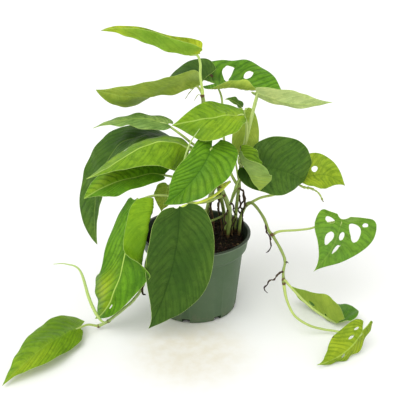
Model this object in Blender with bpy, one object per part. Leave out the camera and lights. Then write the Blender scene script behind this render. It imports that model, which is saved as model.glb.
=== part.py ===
"""A young swiss-cheese vine in a plastic nursery pot.

The pot stands on z = 0 with its axis on the world's Z axis. Every leaf is one
blade with its stalk, every stem is one tube with its aerial roots, and the
stems stand in plain holes in the soil. Lengths in the tables are millimetres.
"""
import math
from dataclasses import dataclass

import bmesh
import bpy
import numpy as np
from mathutils import Matrix

MM = 0.001

# Pot, sizes in millimetres
POT_HEIGHT = 80.0
RIM_RADIUS = 54.0
LIP_HEIGHT = 1.6
LIP_SLOPE = 0.8
LIP_EDGE = 0.3
COLLAR_TOP_RADIUS = 52.4
COLLAR_RADIUS = 50.6
COLLAR_Z = 66.0
WALL_TOP_RADIUS = 46.8
WALL_TOP_Z = 62.0
BASE_RADIUS = 40.0
BASE_CORNER = 2.0
BASE_FLARE = 0.8
WALL = 1.3
FLOOR = 2.0
POT_SIDES = 48
SLOT_COUNT = 8
SLOT_WIDTH = 8.0
SLOT_HEIGHT = 4.5
SLOT_REACH = 5.0
SLOT_OUTSIDE = 4.0
SLOT_FIRST_ANGLE = math.radians(-58.0)

# Soil
SOIL_TOP = 70.0
SOIL_SIDES = 36
SOIL_CROWN = 2.5
SOIL_GAP = 0.6
SOIL_BEVEL = 1.0
CUT_ABOVE_SOIL = 12.0

# Fits and sections
GAP = 0.3
BLADE = 0.7
TUBE_RESOLUTION = 1
STEM_STEP = 7.0
ROOT_STEP = 5.0
ROOT_RADIUS = 0.6
ROOT_TIP = 0.4
HOLE_CLEARANCE = 0.45
LEAST_SLANT = 0.4
PATH_CLEARANCE = 1.0
WELD = 1e-6
STALK_INSIDE = (0.10, 0.03)
STALK_START = 0.6
AXIS_STEP = 1.0

# Fine grid that every blade is worked out on, and the lines kept from it
FINE_ROWS = 64
FINE_COLS = 32
ROW_LINES = (0.0, 0.07, 0.16, 0.27, 0.38, 0.5, 0.62, 0.74, 0.87, 1.0)
COL_LINES = (0.0, 0.36, 0.7, 1.0)
LINE_SPACING = 0.055
LOBE_SHARE = 0.4
HOLE_CORNER = 0.7
NORMAL_STEP = 0.01

COLOURS = {
    "pot": (0.066, 0.128, 0.085),
    "soil": (0.022, 0.014, 0.010),
    "dark": (0.035, 0.110, 0.022),
    "mid": (0.070, 0.230, 0.022),
    "bright": (0.150, 0.360, 0.020),
    "lime": (0.270, 0.430, 0.020),
    "olive": (0.200, 0.290, 0.060),
    "stem": (0.200, 0.290, 0.050),
    "pale": (0.420, 0.520, 0.160),
}


@dataclass
class Half:
    """One side of a blade: width in mm, angles in degrees.

    fold is the angle at the midrib, at the base and at the tip. curl is added
    towards the edge, strongest where at = (centre, spread) along the blade.
    heart is how far the lobe reaches back, as a share of the blade's length.
    """
    width: float
    fold: tuple = (8.0, 4.0)
    curl: float = 10.0
    at: tuple = (0.5, 2.0)
    heart: float = 0.10
    widest: float = 0.36
    taper: float = 0.22


@dataclass
class Leaf:
    """A blade and its stalk.

    spine runs from the stalk to the tip. face is the way the top side looks,
    at the base and at the tip. A hole is (along, across, half length, half
    width) in shares of the blade, across being negative on the left half.
    The stalk starts inside the base of the blade and runs on through its points
    to the stem that it joins.
    """
    name: str
    colour: str
    spine: tuple
    face: tuple
    left: Half
    right: Half
    stalk: tuple
    joins: str
    face_tip: tuple = None
    wave: tuple = (0.8, 2.5, 0.1)
    holes: tuple = ()
    radius: float = 1.3
    roots: tuple = ()


@dataclass
class Stem:
    """A round stem through its points, with aerial roots as thin tubes."""
    name: str
    colour: str
    points: tuple
    radius: tuple = (1.9, 1.5)
    roots: tuple = ()


@dataclass
class Spike:
    """A rolled new leaf, from its tip to the stem that it joins."""
    name: str
    points: tuple
    joins: str
    radius: float = 1.5


STEMS = (
    Stem("stem_right_crown", "stem",
         ((38, 17, 48), (39, 15, 70), (40, 8, 98), (42, 2, 127), (43, -4, 149), (43, -8, 168)),
         roots=(((41, 3, 124), (46, -1, 119), (47, -2, 108), (45, -4, 99), (47, -8, 90)),
                ((40, 9, 92), (36, 4, 86), (35, 0, 79)))),
    Stem("stem_tall", "stem",
         ((30, 25, 48), (31, 23, 70), (27, 15, 101), (18, 12, 138), (10, 8, 180), (7, 5, 213))),
    Stem("stem_front", "stem",
         ((31, 5, 48), (32, 4, 70), (33, -2, 99), (25, -8, 126), (17, -14, 150)),
         roots=(((33, -3, 104), (28, -8, 97), (27, -10, 88), (23, -13, 79)),)),
    Stem("stem_back", "stem",
         ((11, 34, 48), (12, 32, 70), (13, 20, 99), (18, 22, 120), (26, 26, 143))),
    Stem("vine_right", "stem",
         ((39, 6, 48), (43, 8, 70), (45, 9, 90), (50, 4, 106), (56, 0, 108), (65, -8, 98),
          (70, -15, 87), (74, -20, 83), (81, -30, 73), (84, -36, 65), (82, -42, 57), (82, -50, 49)),
         (1.6, 1.3),
         (((67, -12, 93), (68, -15, 86), (71, -18, 80), (72, -19, 72), (70, -19, 67), (68, -18, 65)),
          ((82, -38, 62), (85, -39, 66), (87, -38, 64)),
          ((81, -44, 58), (76, -47, 57), (71, -48, 53), (67, -49, 49), (64, -50, 44), (67, -51, 40)))),
    Stem("vine_left", "stem",
         ((-22, -14, 48), (-24, -18, 70), (-28, -32, 88), (-36, -48, 92), (-43, -61, 80),
          (-47, -66, 57), (-56, -66, 42), (-65, -62, 31), (-75, -56, 19), (-83, -52, 10),
          (-92, -50, 4)),
         (1.5, 1.4),
         (((-47, -66, 57), (-47, -71, 53), (-44, -76, 53)),)),
)

LEAVES = (
    Leaf("leaf_top_rolled", "bright",
         ((5, -1, 252), (-24, -3, 255), (-54, -5, 267), (-80, -6, 273)), (0.0, -0.2, 1.0),
         Half(16, (52, 66), 30, heart=0.02, widest=0.35, taper=0.4),
         Half(16, (28, 35), 30, heart=0.02, widest=0.2, taper=0.7),
         ((5, 0, 243), (5, 2, 232), (7, 5, 217)), "stem_tall",
         wave=(0.5, 2, 0.0)),
    Leaf("leaf_upper_left", "olive",
         ((5, 33, 217), (-40, 14, 210), (-89, 3, 219)), (-0.07, 0.33, 0.94),
         Half(30, (39, -17), 0, heart=0.0, widest=0.4, taper=0.85),
         Half(36, (54, -35), 0, heart=0.22, widest=0.2, taper=0.45),
         ((8, 28, 206), (10, 14, 195)), "stem_tall",
         face_tip=(0.04, 0.68, 0.73)),
    Leaf("leaf_upper_back", "mid",
         ((20, 42, 214), (52, 46, 211), (83, 34, 209)), (0.0, -0.28, 0.96),
         Half(40, (12, 6), 0, heart=0.16, widest=0.39, taper=0.31),
         Half(22, (5, 5), 150, (0.4, 0.6), heart=0.1),
         ((26, 39, 201), (27, 26, 178), (29, 12, 155), (34, 5, 138), (42, 2, 124)), "stem_right_crown",
         holes=((0.36, -0.47, 0.04, 0.27), (0.53, -0.47, 0.05, 0.11))),
    Leaf("leaf_small_dark", "dark",
         ((44, 20, 198), (37, 18, 204), (28, 15, 207)), (0.0, -0.4, 1.0),
         Half(6, (10, 5), 10, heart=0.05), Half(6, (10, 5), 10, heart=0.05),
         ((44, 25, 191), (40, 27, 176), (38, 18, 155), (41, 3, 134)), "stem_right_crown",
         radius=0.9),
    Leaf("leaf_upper_right", "olive",
         ((54, -5, 219), (90, -5, 208), (123, -8, 210)), (0.02, 0.8, 0.6),
         Half(7, (15, 2), 5, heart=0.03, widest=0.31, taper=0.1),
         Half(13, (0, 8), 5, heart=0.02, widest=0.43, taper=0.18),
         ((51, -8, 198), (47, -9, 175), (44, -8, 169)), "stem_right_crown", radius=1.2,
         face_tip=(0.0, 0.96, 0.28)),
    Leaf("leaf_centre", "bright",
         ((44, -24, 204), (13, -27, 201), (-20, -32, 196)), (-0.06, -0.34, 0.94),
         Half(23, (-4, -3), 10, heart=0.0, widest=0.47, taper=0.22),
         Half(20, (-25, 15), 10, heart=0.0, widest=0.32, taper=0.13),
         ((46, -17, 192), (46, -15, 178), (43, -7, 163)), "stem_right_crown",
         face_tip=(0.04, -0.87, 0.49)),
    Leaf("leaf_behind_centre", "olive",
         ((46, 9, 198), (47, 8, 176), (45, 5, 148)), (0.2, 0.95, 0.1),
         Half(13, (10, 5), 10, heart=0.04, widest=0.55), Half(13, (10, 5), 10, heart=0.04, widest=0.55),
         ((48, 19, 197), (50, 26, 188), (50, 26, 170), (46, 12, 150), (42, 2, 142)), "stem_right_crown",
         radius=1.0),
    Leaf("leaf_left_edge_on", "mid",
         ((-24, -9, 191), (-58, -5, 194), (-93, 0, 184)), (0.0, 0.0, 1.0),
         Half(12, (-17, -7), 0, heart=0.04, widest=0.32, taper=0.16),
         Half(15, (-15, -6), 0, heart=0.05, widest=0.35, taper=0.2),
         ((-12, -12, 181), (-2, -10, 172), (7, -1, 163), (15, 10, 152)), "stem_tall"),
    Leaf("leaf_left_dark", "dark",
         ((-22, 20, 167), (-71, 7, 165), (-95, 4, 116), (-96, -1, 66)), (-0.36, -0.23, 0.9),
         Half(16, (13, 5), 10, heart=0.05, widest=0.37, taper=0.3),
         Half(24, (-10, 19), 10, heart=0.05, widest=0.43, taper=0.85),
         ((-8, 18, 162), (5, 14, 154), (18, 12, 138)), "stem_tall",
         face_tip=(-0.72, -0.7, 0.0)),
    Leaf("leaf_left_bright", "bright",
         ((-4, -24, 174), (-34, -34, 187), (-62, -41, 175), (-94, -49, 154)), (-0.1, -0.72, 0.69),
         Half(30, (-15, 24), 0, heart=0.02, widest=0.25, taper=0.05),
         Half(24, (-72, -30), 0, heart=0.05, widest=0.59, taper=0.48),
         ((3, -23, 166), (7, -22, 156), (12, -19, 149), (19, -12, 143)), "stem_front",
         face_tip=(-0.2, -0.57, 0.8)),
    Leaf("leaf_left_lower", "mid",
         ((-27, -27, 149), (-61, -33, 147), (-98, -46, 133)), (-0.02, -0.33, 0.94),
         Half(14, (-8, -10), 0, heart=0.0, widest=0.56, taper=0.18),
         Half(21, (10, 10), 0, heart=0.05, widest=0.33, taper=0.59),
         ((-11, -25, 144), (6, -19, 139), (21, -11, 136)), "stem_front",
         face_tip=(0.0, -0.46, 0.89)),
    Leaf("leaf_under_left", "olive",
         ((-25, -8, 131), (-32, -12, 106)), (-0.3, 0.9, 0.3),
         Half(11, (10, 5), 10, heart=0.05), Half(11, (10, 5), 10, heart=0.05),
         ((-12, -5, 143), (0, -2, 138), (12, 5, 131), (20, 12, 131)), "stem_tall",
         radius=0.9),
    Leaf("leaf_front_heart", "mid",
         ((15, -38, 179), (5, -53, 163), (-27, -59, 133)), (0.07, -0.84, 0.54),
         Half(25, (-6, 15), 15, heart=0.13, widest=0.19, taper=0.43),
         Half(17, (8, 8), 15, heart=0.24, widest=0.55, taper=0.22),
         ((19, -30, 172), (19, -20, 160), (17, -14, 150)), "stem_front",
         face_tip=(-0.23, -0.67, 0.7)),
    Leaf("leaf_front_dark", "dark",
         ((-13, -77, 139), (-17, -77, 96), (-43, -70, 14)), (0.15, -0.98, 0.14),
         Half(34, (8, 10), 5, heart=0.02, widest=0.46, taper=0.35),
         Half(26, (16, 13), 5, heart=0.0, widest=0.36, taper=0.0),
         ((-9, -76, 139), (0, -72, 139), (10, -65, 140), (20, -55, 142), (29, -40, 145), (31, -24, 140),
          (24, -9, 130)),
         "stem_front"),
    Leaf("leaf_front_left", "bright",
         ((-51, -42, 132), (-57, -57, 108), (-63, -66, 83), (-96, -44, 8)), (-0.52, -0.8, 0.3),
         Half(42, (-9, 6), 170, (0.28, 0.28), heart=0.0, widest=0.28, taper=0.0),
         Half(31, (-20, 0), 0, heart=0.0, widest=0.64, taper=0.22),
         ((-38, -42, 134), (-22, -36, 131), (-7, -28, 122), (10, -18, 118),
          (27, -6, 120)), "stem_front", face_tip=(-0.4, -0.82, 0.4), wave=(2.0, 2.0, 0.3),
         holes=((0.78, -0.3, 0.02, 0.08),)),
    Leaf("leaf_floor_left", "bright",
         ((-106, -64, 12), (-128, -96, 17), (-161, -138, 3)), (0.1, -0.5, 0.85),
         Half(15, (-30, -10), -5, heart=0.0, widest=0.41, taper=0.16),
         Half(28, (-20, -3), -5, heart=0.12, widest=0.24, taper=0.3),
         ((-101, -57, 10), (-94, -51, 5)), "vine_left", radius=1.1,
         face_tip=(-0.25, -0.15, 0.93)),
    Leaf("leaf_right_round", "dark",
         ((63, -6, 149), (90, -5, 141), (104, 4, 130)), (0.24, -0.82, 0.53),
         Half(31, (8, 17), 5, heart=0.23, widest=0.37, taper=0.85),
         Half(27, (8, 11), 5, heart=0.23, widest=0.23, taper=0.34),
         ((56, -3, 145), (50, -1, 141), (43, 1, 137)), "stem_right_crown",
         face_tip=(0.17, -0.9, 0.4)),
    Leaf("leaf_right_yellow", "lime",
         ((101, 11, 129), (125, 12, 133), (144, 7, 124)), (-0.06, -0.54, 0.84),
         Half(24, (3, -2), 5, heart=0.1, widest=0.26, taper=0.17),
         Half(16, (15, 1), 5, heart=0.0, widest=0.45, taper=0.12),
         ((92, 12, 121), (78, 8, 115), (63, 6, 112), (51, 4, 106)), "vine_right",
         face_tip=(-0.09, -0.86, 0.51), holes=((0.41, -0.28, 0.05, 0.14),),
         roots=(((97, 12, 125), (104, 9, 122), (112, 6, 120), (122, 5, 116), (130, 5, 106)),)),
    Leaf("leaf_right_curled", "mid",
         ((40, -21, 166), (50, -30, 147), (59, -28, 133)), (0.49, 0.05, 0.87),
         Half(17, (73, 59), 0, heart=0.04, widest=0.37),
         Half(24, (40, 47), 0, heart=0.06, widest=0.5, taper=0.3),
         ((40, -15, 156), (43, -4, 148)), "stem_right_crown", radius=1.1,
         face_tip=(0.62, 0.46, 0.64)),
    Leaf("leaf_right_holes", "mid",
         ((139, -14, 98), (132, -16, 71), (114, -23, 47)), (-0.21, -0.84, 0.5),
         Half(34, (-6, -8), 5, heart=0.06, widest=0.15, taper=0.02),
         Half(24, (-13, 15), 5, heart=0.06, widest=0.15, taper=0.0),
         ((125, -9, 89), (100, -12, 86), (80, -17, 87), (73, -19, 84)),
         "vine_right", radius=1.1, face_tip=(0.26, -0.93, 0.26),
         holes=((0.23, 0.52, 0.07, 0.2), (0.48, 0.3, 0.1, 0.2), (0.37, -0.12, 0.07, 0.08),
                (0.58, -0.2, 0.08, 0.08), (0.3, -0.44, 0.14, 0.16), (0.265, -0.72, 0.035, 0.08))),
    Leaf("leaf_floor_right", "olive",
         ((135, -49, 6), (118, -26, 5), (94, -10, 24)), (0.03, -0.15, 1.0),
         Half(26, (89, 71), 0, heart=0.14, widest=0.27, taper=0.39),
         Half(28, (17, -12), 0, heart=0.18, widest=0.25, taper=0.22),
         ((123, -57, 16), (108, -56, 27), (93, -52, 41), (83, -49, 52)),
         "vine_right", radius=1.1, face_tip=(0.22, 0.09, 0.97),
         holes=((0.62, -0.2, 0.06, 0.1), (0.31, -0.14, 0.03, 0.06))),
    Leaf("leaf_floor_lime", "lime",
         ((149, -88, 22), (129, -104, 9), (105, -114, 5)), (-0.26, -0.7, 0.67),
         Half(11, (-66, -60), 0, heart=0.22, widest=0.25, taper=0.2),
         Half(17, (6, 0), 0, heart=0.15, widest=0.41, taper=0.0),
         ((142, -74, 9), (134, -63, 5), (119, -60, 6), (105, -62, 12),
          (92, -60, 21), (85, -54, 34), (82, -50, 48)), "vine_right", radius=1.2,
         face_tip=(-0.25, -0.74, 0.63),
         holes=((0.14, 0.5, 0.045, 0.08), (0.27, 0.34, 0.05, 0.08), (0.58, -0.25, 0.035, 0.2))),
)

SPIKES = (
    Spike("spike_left", ((-125, -68, 80), (-114, -68, 80), (-102, -69, 74), (-96, -68, 46), (-91, -67, 29),
                         (-86, -63, 17), (-83, -53, 11)), "vine_left"),
    Spike("spike_crown", ((4, -46, 197), (-4, -44, 184), (-9, -45, 168), (-8, -44, 156),
                          (0, -36, 148), (21, -11, 140)),
          "stem_front", 1.3),
    Spike("spike_sheath", ((59, 5, 219), (54, 4, 200), (49, 1, 180), (43, -6, 160)),
          "stem_right_crown", 1.8),
)


def clear_scene():
    for thing in list(bpy.data.objects):
        bpy.data.objects.remove(thing, do_unlink=True)


def material(name, colour, roughness=0.5):
    """Plain surface: base colour, roughness, no metal."""
    made = bpy.data.materials.new(name)
    made.use_nodes = True
    shader = made.node_tree.nodes["Principled BSDF"]
    shader.inputs["Base Color"].default_value = (*colour, 1.0)
    shader.inputs["Roughness"].default_value = roughness
    shader.inputs["Metallic"].default_value = 0.0
    return made


def add_object(name, mesh):
    thing = bpy.data.objects.new(name, mesh)
    bpy.context.scene.collection.objects.link(thing)
    return thing


def evaluated_mesh(thing):
    """A mesh of the object with its modifiers applied."""
    graph = bpy.context.evaluated_depsgraph_get()
    graph.update()
    return bpy.data.meshes.new_from_object(thing.evaluated_get(graph))


def polynomial(points):
    """Coefficients of the curve through the points, spaced by chord length."""
    points = np.array(points, float)
    steps = np.linalg.norm(np.diff(points, axis=0), axis=1)
    knots = np.concatenate(([0.0], np.cumsum(steps) / steps.sum()))
    return np.linalg.solve(np.vander(knots, increasing=True), points)


def along(coefficients, share):
    """Point and direction of the curve, carried on straight before its start."""
    inside = np.maximum(share, 0.0)[..., None]
    powers = np.arange(len(coefficients))
    point = (coefficients * inside[..., None] ** powers[:, None]).sum(-2)
    slopes = coefficients[1:] * powers[1:, None]
    direction = (slopes * inside[..., None] ** powers[:-1, None]).sum(-2)
    point = point + direction * np.minimum(share, 0.0)[..., None]
    return point, direction


def unit(vectors):
    return vectors / np.linalg.norm(vectors, axis=-1, keepdims=True)


def cubic(a, b, c, d, t):
    """Point of the cubic Bezier curve with these four control values."""
    u = 1.0 - t
    return a * u ** 3 + 3 * b * u * u * t + 3 * c * u * t * t + d * t ** 3


def outline(half, q):
    """Edge of one half: shares along the blade and mm across, from sinus to tip."""
    first = np.clip(q / LOBE_SHARE, 0.0, 1.0)
    second = np.clip((q - LOBE_SHARE) / (1.0 - LOBE_SHARE), 0.0, 1.0)
    back, widest, taper = half.heart, half.widest, half.taper
    x_lobe = cubic(-back, -1.25 * back - 0.01, widest - 0.30, widest, first)
    y_lobe = cubic(0.22, 0.72, 1.0, 1.0, first)
    x_blade = cubic(widest, widest + 0.26, 0.84, 1.0, second)
    y_blade = cubic(1.0, 1.0, taper, 0.0, second)
    before = q <= LOBE_SHARE
    return np.where(before, x_lobe, x_blade), half.width * np.where(before, y_lobe, y_blade)


def half_section(half, leaf, s, t):
    """Flat place of the rows' points, then their bent section.

    Row s leaves the midrib at s ** 1.2 and ends on the outline at s. Going out
    along a row the section turns by the fold plus the curl times the square of
    the share across, and its steps are summed to give offset and height.
    """
    edge_x, edge_y = outline(half, s)
    x = (1.0 - t) * s ** 1.2 + t * edge_x + 0.05 * t * (1.0 - t) * (1.0 - s)
    y = t * edge_y
    inside = np.clip(x, 0.0, 1.0)
    fold = half.fold[0] + (half.fold[1] - half.fold[0]) * inside
    window = np.exp(-((x - half.at[0]) / half.at[1]) ** 2)
    share = y / half.width
    angle = np.radians(fold + half.curl * window * share ** 2)
    middle = 0.5 * (angle[:, 1:] + angle[:, :-1])
    step = np.diff(y, axis=1)
    start = np.zeros((len(y), 1))
    offset = np.concatenate((start, np.cumsum(np.cos(middle) * step, axis=1)), axis=1)
    height = np.concatenate((start, np.cumsum(np.sin(middle) * step, axis=1)), axis=1)
    size, count, phase = leaf.wave
    height = height + size * share ** 2 * np.sin(2 * np.pi * (count * x + phase))
    return x, offset, height


def blade_surface(leaf):
    """Middle surface of the blade on the fine grid, rows by columns, in mm."""
    rows = np.linspace(0.0, 1.0, FINE_ROWS + 1)[:, None]
    cols = np.linspace(0.0, 1.0, FINE_COLS + 1)[None, :]
    s = rows + 0.0 * cols
    t = cols + 0.0 * rows
    curve = polynomial(leaf.spine)
    base_face = np.array(leaf.face, float)
    tip_face = np.array(leaf.face_tip or leaf.face, float)
    sides = []
    for half, sign in ((leaf.left, -1.0), (leaf.right, 1.0)):
        x, offset, height = half_section(half, leaf, s, t)
        point, direction = along(curve, x)
        tangent = unit(direction)
        blend = np.clip(x, 0.0, 1.0)[..., None]
        face = unit(base_face) * (1.0 - blend) + unit(tip_face) * blend
        normal = unit(face - tangent * (face * tangent).sum(-1, keepdims=True))
        across = np.cross(tangent, normal)
        sides.append(point + across * (sign * offset)[..., None] + normal * height[..., None])
    return np.concatenate((sides[0][:, :0:-1], sides[1]), axis=1)


def sample(surface, s, t):
    """Surface point at shares s along and t across, read between grid lines."""
    i = np.clip(s, 0.0, 1.0) * FINE_ROWS
    j = (np.clip(t, -1.0, 1.0) + 1.0) * FINE_COLS
    i0 = np.minimum(i.astype(int), FINE_ROWS - 1)
    j0 = np.minimum(j.astype(int), 2 * FINE_COLS - 1)
    a = (i - i0)[..., None]
    b = (j - j0)[..., None]
    low = surface[i0, j0] * (1 - b) + surface[i0, j0 + 1] * b
    high = surface[i0 + 1, j0] * (1 - b) + surface[i0 + 1, j0 + 1] * b
    return low * (1 - a) + high * a


def grid_lines(wanted, needed):
    """The needed lines, and each wanted line that isn't too near one of them."""
    kept = sorted(set(round(value, 4) for value in needed))
    for value in wanted:
        ends = value in (wanted[0], wanted[-1])
        if ends or all(abs(value - other) > LINE_SPACING for other in kept):
            kept.append(value)
    return np.array(sorted(set(kept)))


def blade_mesh(leaf):
    """Closed thin solid of the blade, split alike on both faces."""
    surface = blade_surface(leaf)
    row_needs = [h[0] + side * h[2] for h in leaf.holes for side in (-1, 0, 1)]
    col_needs = [h[1] + side * h[3] for h in leaf.holes for side in (-1, 0, 1)]
    rows = grid_lines(ROW_LINES, row_needs)
    cols = grid_lines([-c for c in COL_LINES[:0:-1]] + list(COL_LINES), col_needs)
    s, t = np.meshgrid(rows, cols, indexing="ij")
    s, t = s.copy(), t.copy()
    open_cells = np.zeros((len(rows) - 1, len(cols) - 1), bool)
    for s0, t0, ds, dt in leaf.holes:
        ia, ib = np.argmin(abs(rows - s0 + ds)), np.argmin(abs(rows - s0 - ds))
        ja, jb = np.argmin(abs(cols - t0 + dt)), np.argmin(abs(cols - t0 - dt))
        open_cells[ia:ib, ja:jb] = True
        for i in (ia, ib):
            for j in (ja, jb):
                s[i, j] = s0 + HOLE_CORNER * (s[i, j] - s0)
                t[i, j] = t0 + HOLE_CORNER * (t[i, j] - t0)
    points = sample(surface, s, t)
    short = np.minimum(s, 1.0 - 2.5 * NORMAL_STEP)
    down = sample(surface, short + NORMAL_STEP, t) - sample(surface, short - NORMAL_STEP, t)
    over = sample(surface, short, t + NORMAL_STEP) - sample(surface, short, t - NORMAL_STEP)
    normal = unit(np.cross(over, down))
    facing = np.sign((normal * unit(np.array(leaf.face, float))).sum())
    normal = normal * facing * 0.5 * BLADE
    count_s, count_t = s.shape
    index = np.arange(count_s * count_t).reshape(count_s, count_t)
    index[-1, :] = index[-1, count_t // 2]
    total = count_s * count_t
    triangles = []
    for i in range(count_s - 1):
        for j in range(count_t - 1):
            if open_cells[i, j]:
                continue
            a, b = index[i, j], index[i, j + 1]
            c, d = index[i + 1, j + 1], index[i + 1, j]
            if c == d:
                triangles.append((a, b, c))
            elif j < count_t // 2:
                triangles += [(a, b, d), (b, c, d)]
            else:
                triangles += [(a, b, c), (a, c, d)]
    edges = {}
    for triangle in triangles:
        for k in range(3):
            edges[(triangle[k], triangle[(k + 1) % 3])] = True
    border = [edge for edge in edges if (edge[1], edge[0]) not in edges]
    faces = list(triangles)
    faces += [tuple(total + v for v in reversed(triangle)) for triangle in triangles]
    faces += [(b, a, total + a, total + b) for a, b in border]
    flat = points.reshape(-1, 3)
    lift = normal.reshape(-1, 3)
    vertices = np.concatenate((flat + lift, flat - lift)) * MM
    mesh = bpy.data.meshes.new(leaf.name)
    mesh.from_pydata(vertices.tolist(), [], faces)
    tidy = bmesh.new()
    tidy.from_mesh(mesh)
    loose = [v for v in tidy.verts if not v.link_faces]
    bmesh.ops.delete(tidy, geom=loose, context="VERTS")
    bmesh.ops.recalc_face_normals(tidy, faces=tidy.faces)
    tidy.to_mesh(mesh)
    tidy.free()
    return mesh


def smooth_path(points, step):
    """Points along a centripetal Catmull-Rom curve, about one step apart."""
    points = np.array(points, float)
    first = 2 * points[0] - points[1]
    last = 2 * points[-1] - points[-2]
    padded = np.vstack((first, points, last))
    path = []
    for p0, p1, p2, p3 in zip(padded, padded[1:], padded[2:], padded[3:]):
        count = max(1, round(np.linalg.norm(p2 - p1) / step))
        t = (np.arange(count) / count)[:, None]
        path.append(0.5 * (2 * p1 + (p2 - p0) * t + (2 * p0 - 5 * p1 + 4 * p2 - p3) * t * t
                           + (3 * p1 - p0 - 3 * p2 + p3) * t ** 3))
    return np.vstack(path + [points[-1:]])


def weld(mesh):
    """Close the seams between a tube's side and its caps."""
    shape = bmesh.new()
    shape.from_mesh(mesh)
    bmesh.ops.remove_doubles(shape, verts=shape.verts, dist=WELD)
    bmesh.ops.recalc_face_normals(shape, faces=shape.faces)
    shape.to_mesh(mesh)
    shape.free()


def tube(name, path, radii):
    """Round closed tube along the path, as a mesh object, from a bevelled curve."""
    curve = bpy.data.curves.new(name, "CURVE")
    curve.dimensions = "3D"
    curve.bevel_depth = MM
    curve.bevel_resolution = TUBE_RESOLUTION
    curve.use_fill_caps = True
    line = curve.splines.new("POLY")
    line.points.add(len(path) - 1)
    for point, place, radius in zip(line.points, path, radii):
        point.co = (*(place * MM), 1.0)
        point.radius = radius
    guide = add_object(name + "_guide", curve)
    mesh = evaluated_mesh(guide)
    mesh.name = name
    weld(mesh)
    bpy.data.objects.remove(guide)
    bpy.data.curves.remove(curve)
    return add_object(name, mesh)


def join(thing, others, solver="EXACT"):
    """Fuse the other objects into this one with one union, and remove them."""
    group = bpy.data.collections.new(thing.name + "_parts")
    for other in others:
        group.objects.link(other)
    union = thing.modifiers.new("union", "BOOLEAN")
    union.operation = "UNION"
    union.operand_type = "COLLECTION"
    union.solver = solver
    union.collection = group
    mesh = evaluated_mesh(thing)
    thing.modifiers.clear()
    thing.data = mesh
    for other in others:
        bpy.data.objects.remove(other)
    bpy.data.collections.remove(group)


def stem_path(stem):
    return smooth_path(stem.points, STEM_STEP)


def stem_radii(stem, path):
    share = np.linspace(0.0, 1.0, len(path))
    return stem.radius[0] + (stem.radius[1] - stem.radius[0]) * share


def finish(thing, colour):
    """The object's own plain material in place of what it has."""
    thing.data.materials.clear()
    thing.data.materials.append(material(thing.name, COLOURS[colour]))
    return thing


def root_tubes(name, roots, carrier):
    """Thin tubes that start on the axis of the stem or stalk they grow from."""
    tubes = []
    for k, points in enumerate(roots):
        nearest = np.argmin(np.linalg.norm(carrier - points[0], axis=1))
        path = smooth_path((carrier[nearest],) + tuple(points[1:]), ROOT_STEP)
        tubes.append(tube(f"{name}_root_{k}", path, np.linspace(ROOT_RADIUS, ROOT_TIP, len(path))))
    return tubes


def build_stem(stem):
    path = stem_path(stem)
    thing = tube(stem.name, path, stem_radii(stem, path))
    if stem.roots:
        join(thing, root_tubes(stem.name, stem.roots, smooth_path(stem.points, AXIS_STEP)))
    return finish(thing, stem.colour)


def joined_path(points, radius, stem):
    """Smooth path that stops one gap short of the stem that it grows from.

    The flat end of the stalk leans towards the stem, so its near corner decides:
    beside the stem it clears the stem's side, and past the stem's end its end.
    """
    path = smooth_path(points, STEM_STEP)
    axis = smooth_path(stem.points, AXIS_STEP)
    last = len(axis) - 1
    nearest = int(np.argmin(np.linalg.norm(axis - path[-1], axis=1)))
    target = axis[nearest]
    thickness = stem_radii(stem, axis)[nearest]
    run = unit(axis[min(nearest + 1, last)] - axis[nearest - 1])
    lean = unit(path[-2] - target)
    slant = max(LEAST_SLANT, np.linalg.norm(np.cross(run, lean)))
    follow = abs(run @ lean)
    keep = (thickness + GAP + radius * follow) / slant
    if nearest == last:
        keep = min(keep, (GAP + radius * slant) / max(LEAST_SLANT, run @ lean))
    path = path[np.linalg.norm(path - target, axis=1) > keep + PATH_CLEARANCE]
    return np.vstack((path, target + unit(path[-1] - target) * keep))


def build_leaf(leaf, stems):
    blade = add_object(leaf.name, blade_mesh(leaf))
    inside, _ = along(polynomial(leaf.spine), np.array(STALK_INSIDE))
    path = joined_path(np.vstack((inside, leaf.stalk)), leaf.radius, stems[leaf.joins])
    radii = np.full(len(path), leaf.radius)
    radii[0] = STALK_START * leaf.radius
    stalk = tube(leaf.name + "_stalk", path, radii)
    join(blade, [stalk] + root_tubes(leaf.name, leaf.roots, path))
    return finish(blade, leaf.colour)


def build_spike(spike, stems):
    """Tapered round shape: thin at its tip, widest two thirds of the way down."""
    path = joined_path(spike.points, 0.5 * spike.radius, stems[spike.joins])
    share = np.linspace(0.0, 1.0, len(path))
    shape = np.interp(share, (0.0, 0.35, 0.7, 1.0), (0.25, 0.8, 1.0, 0.5))
    return finish(tube(spike.name, path, spike.radius * shape), "pale")


def wall_radius(z):
    """Outer radius of the plain wall at height z."""
    share = (z - BASE_CORNER) / (WALL_TOP_Z - BASE_CORNER)
    return BASE_RADIUS + BASE_FLARE + (WALL_TOP_RADIUS - BASE_RADIUS - BASE_FLARE) * share


def turned(name, profile, sides):
    """Closed solid of a profile (radius, height) turned about Z, ends on the axis."""
    shape = bmesh.new()
    line = [shape.verts.new((radius * MM, 0.0, z * MM)) for radius, z in profile]
    edges = [shape.edges.new(pair) for pair in zip(line, line[1:])]
    bmesh.ops.spin(shape, geom=line + edges, cent=(0, 0, 0), axis=(0, 0, 1),
                   angle=2 * math.pi, steps=sides, use_merge=True)
    bmesh.ops.remove_doubles(shape, verts=shape.verts, dist=WELD)
    bmesh.ops.dissolve_degenerate(shape, edges=shape.edges, dist=0.1 * WELD)
    bmesh.ops.recalc_face_normals(shape, faces=shape.faces)
    mesh = bpy.data.meshes.new(name)
    shape.to_mesh(mesh)
    shape.free()
    return add_object(name, mesh)


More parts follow.
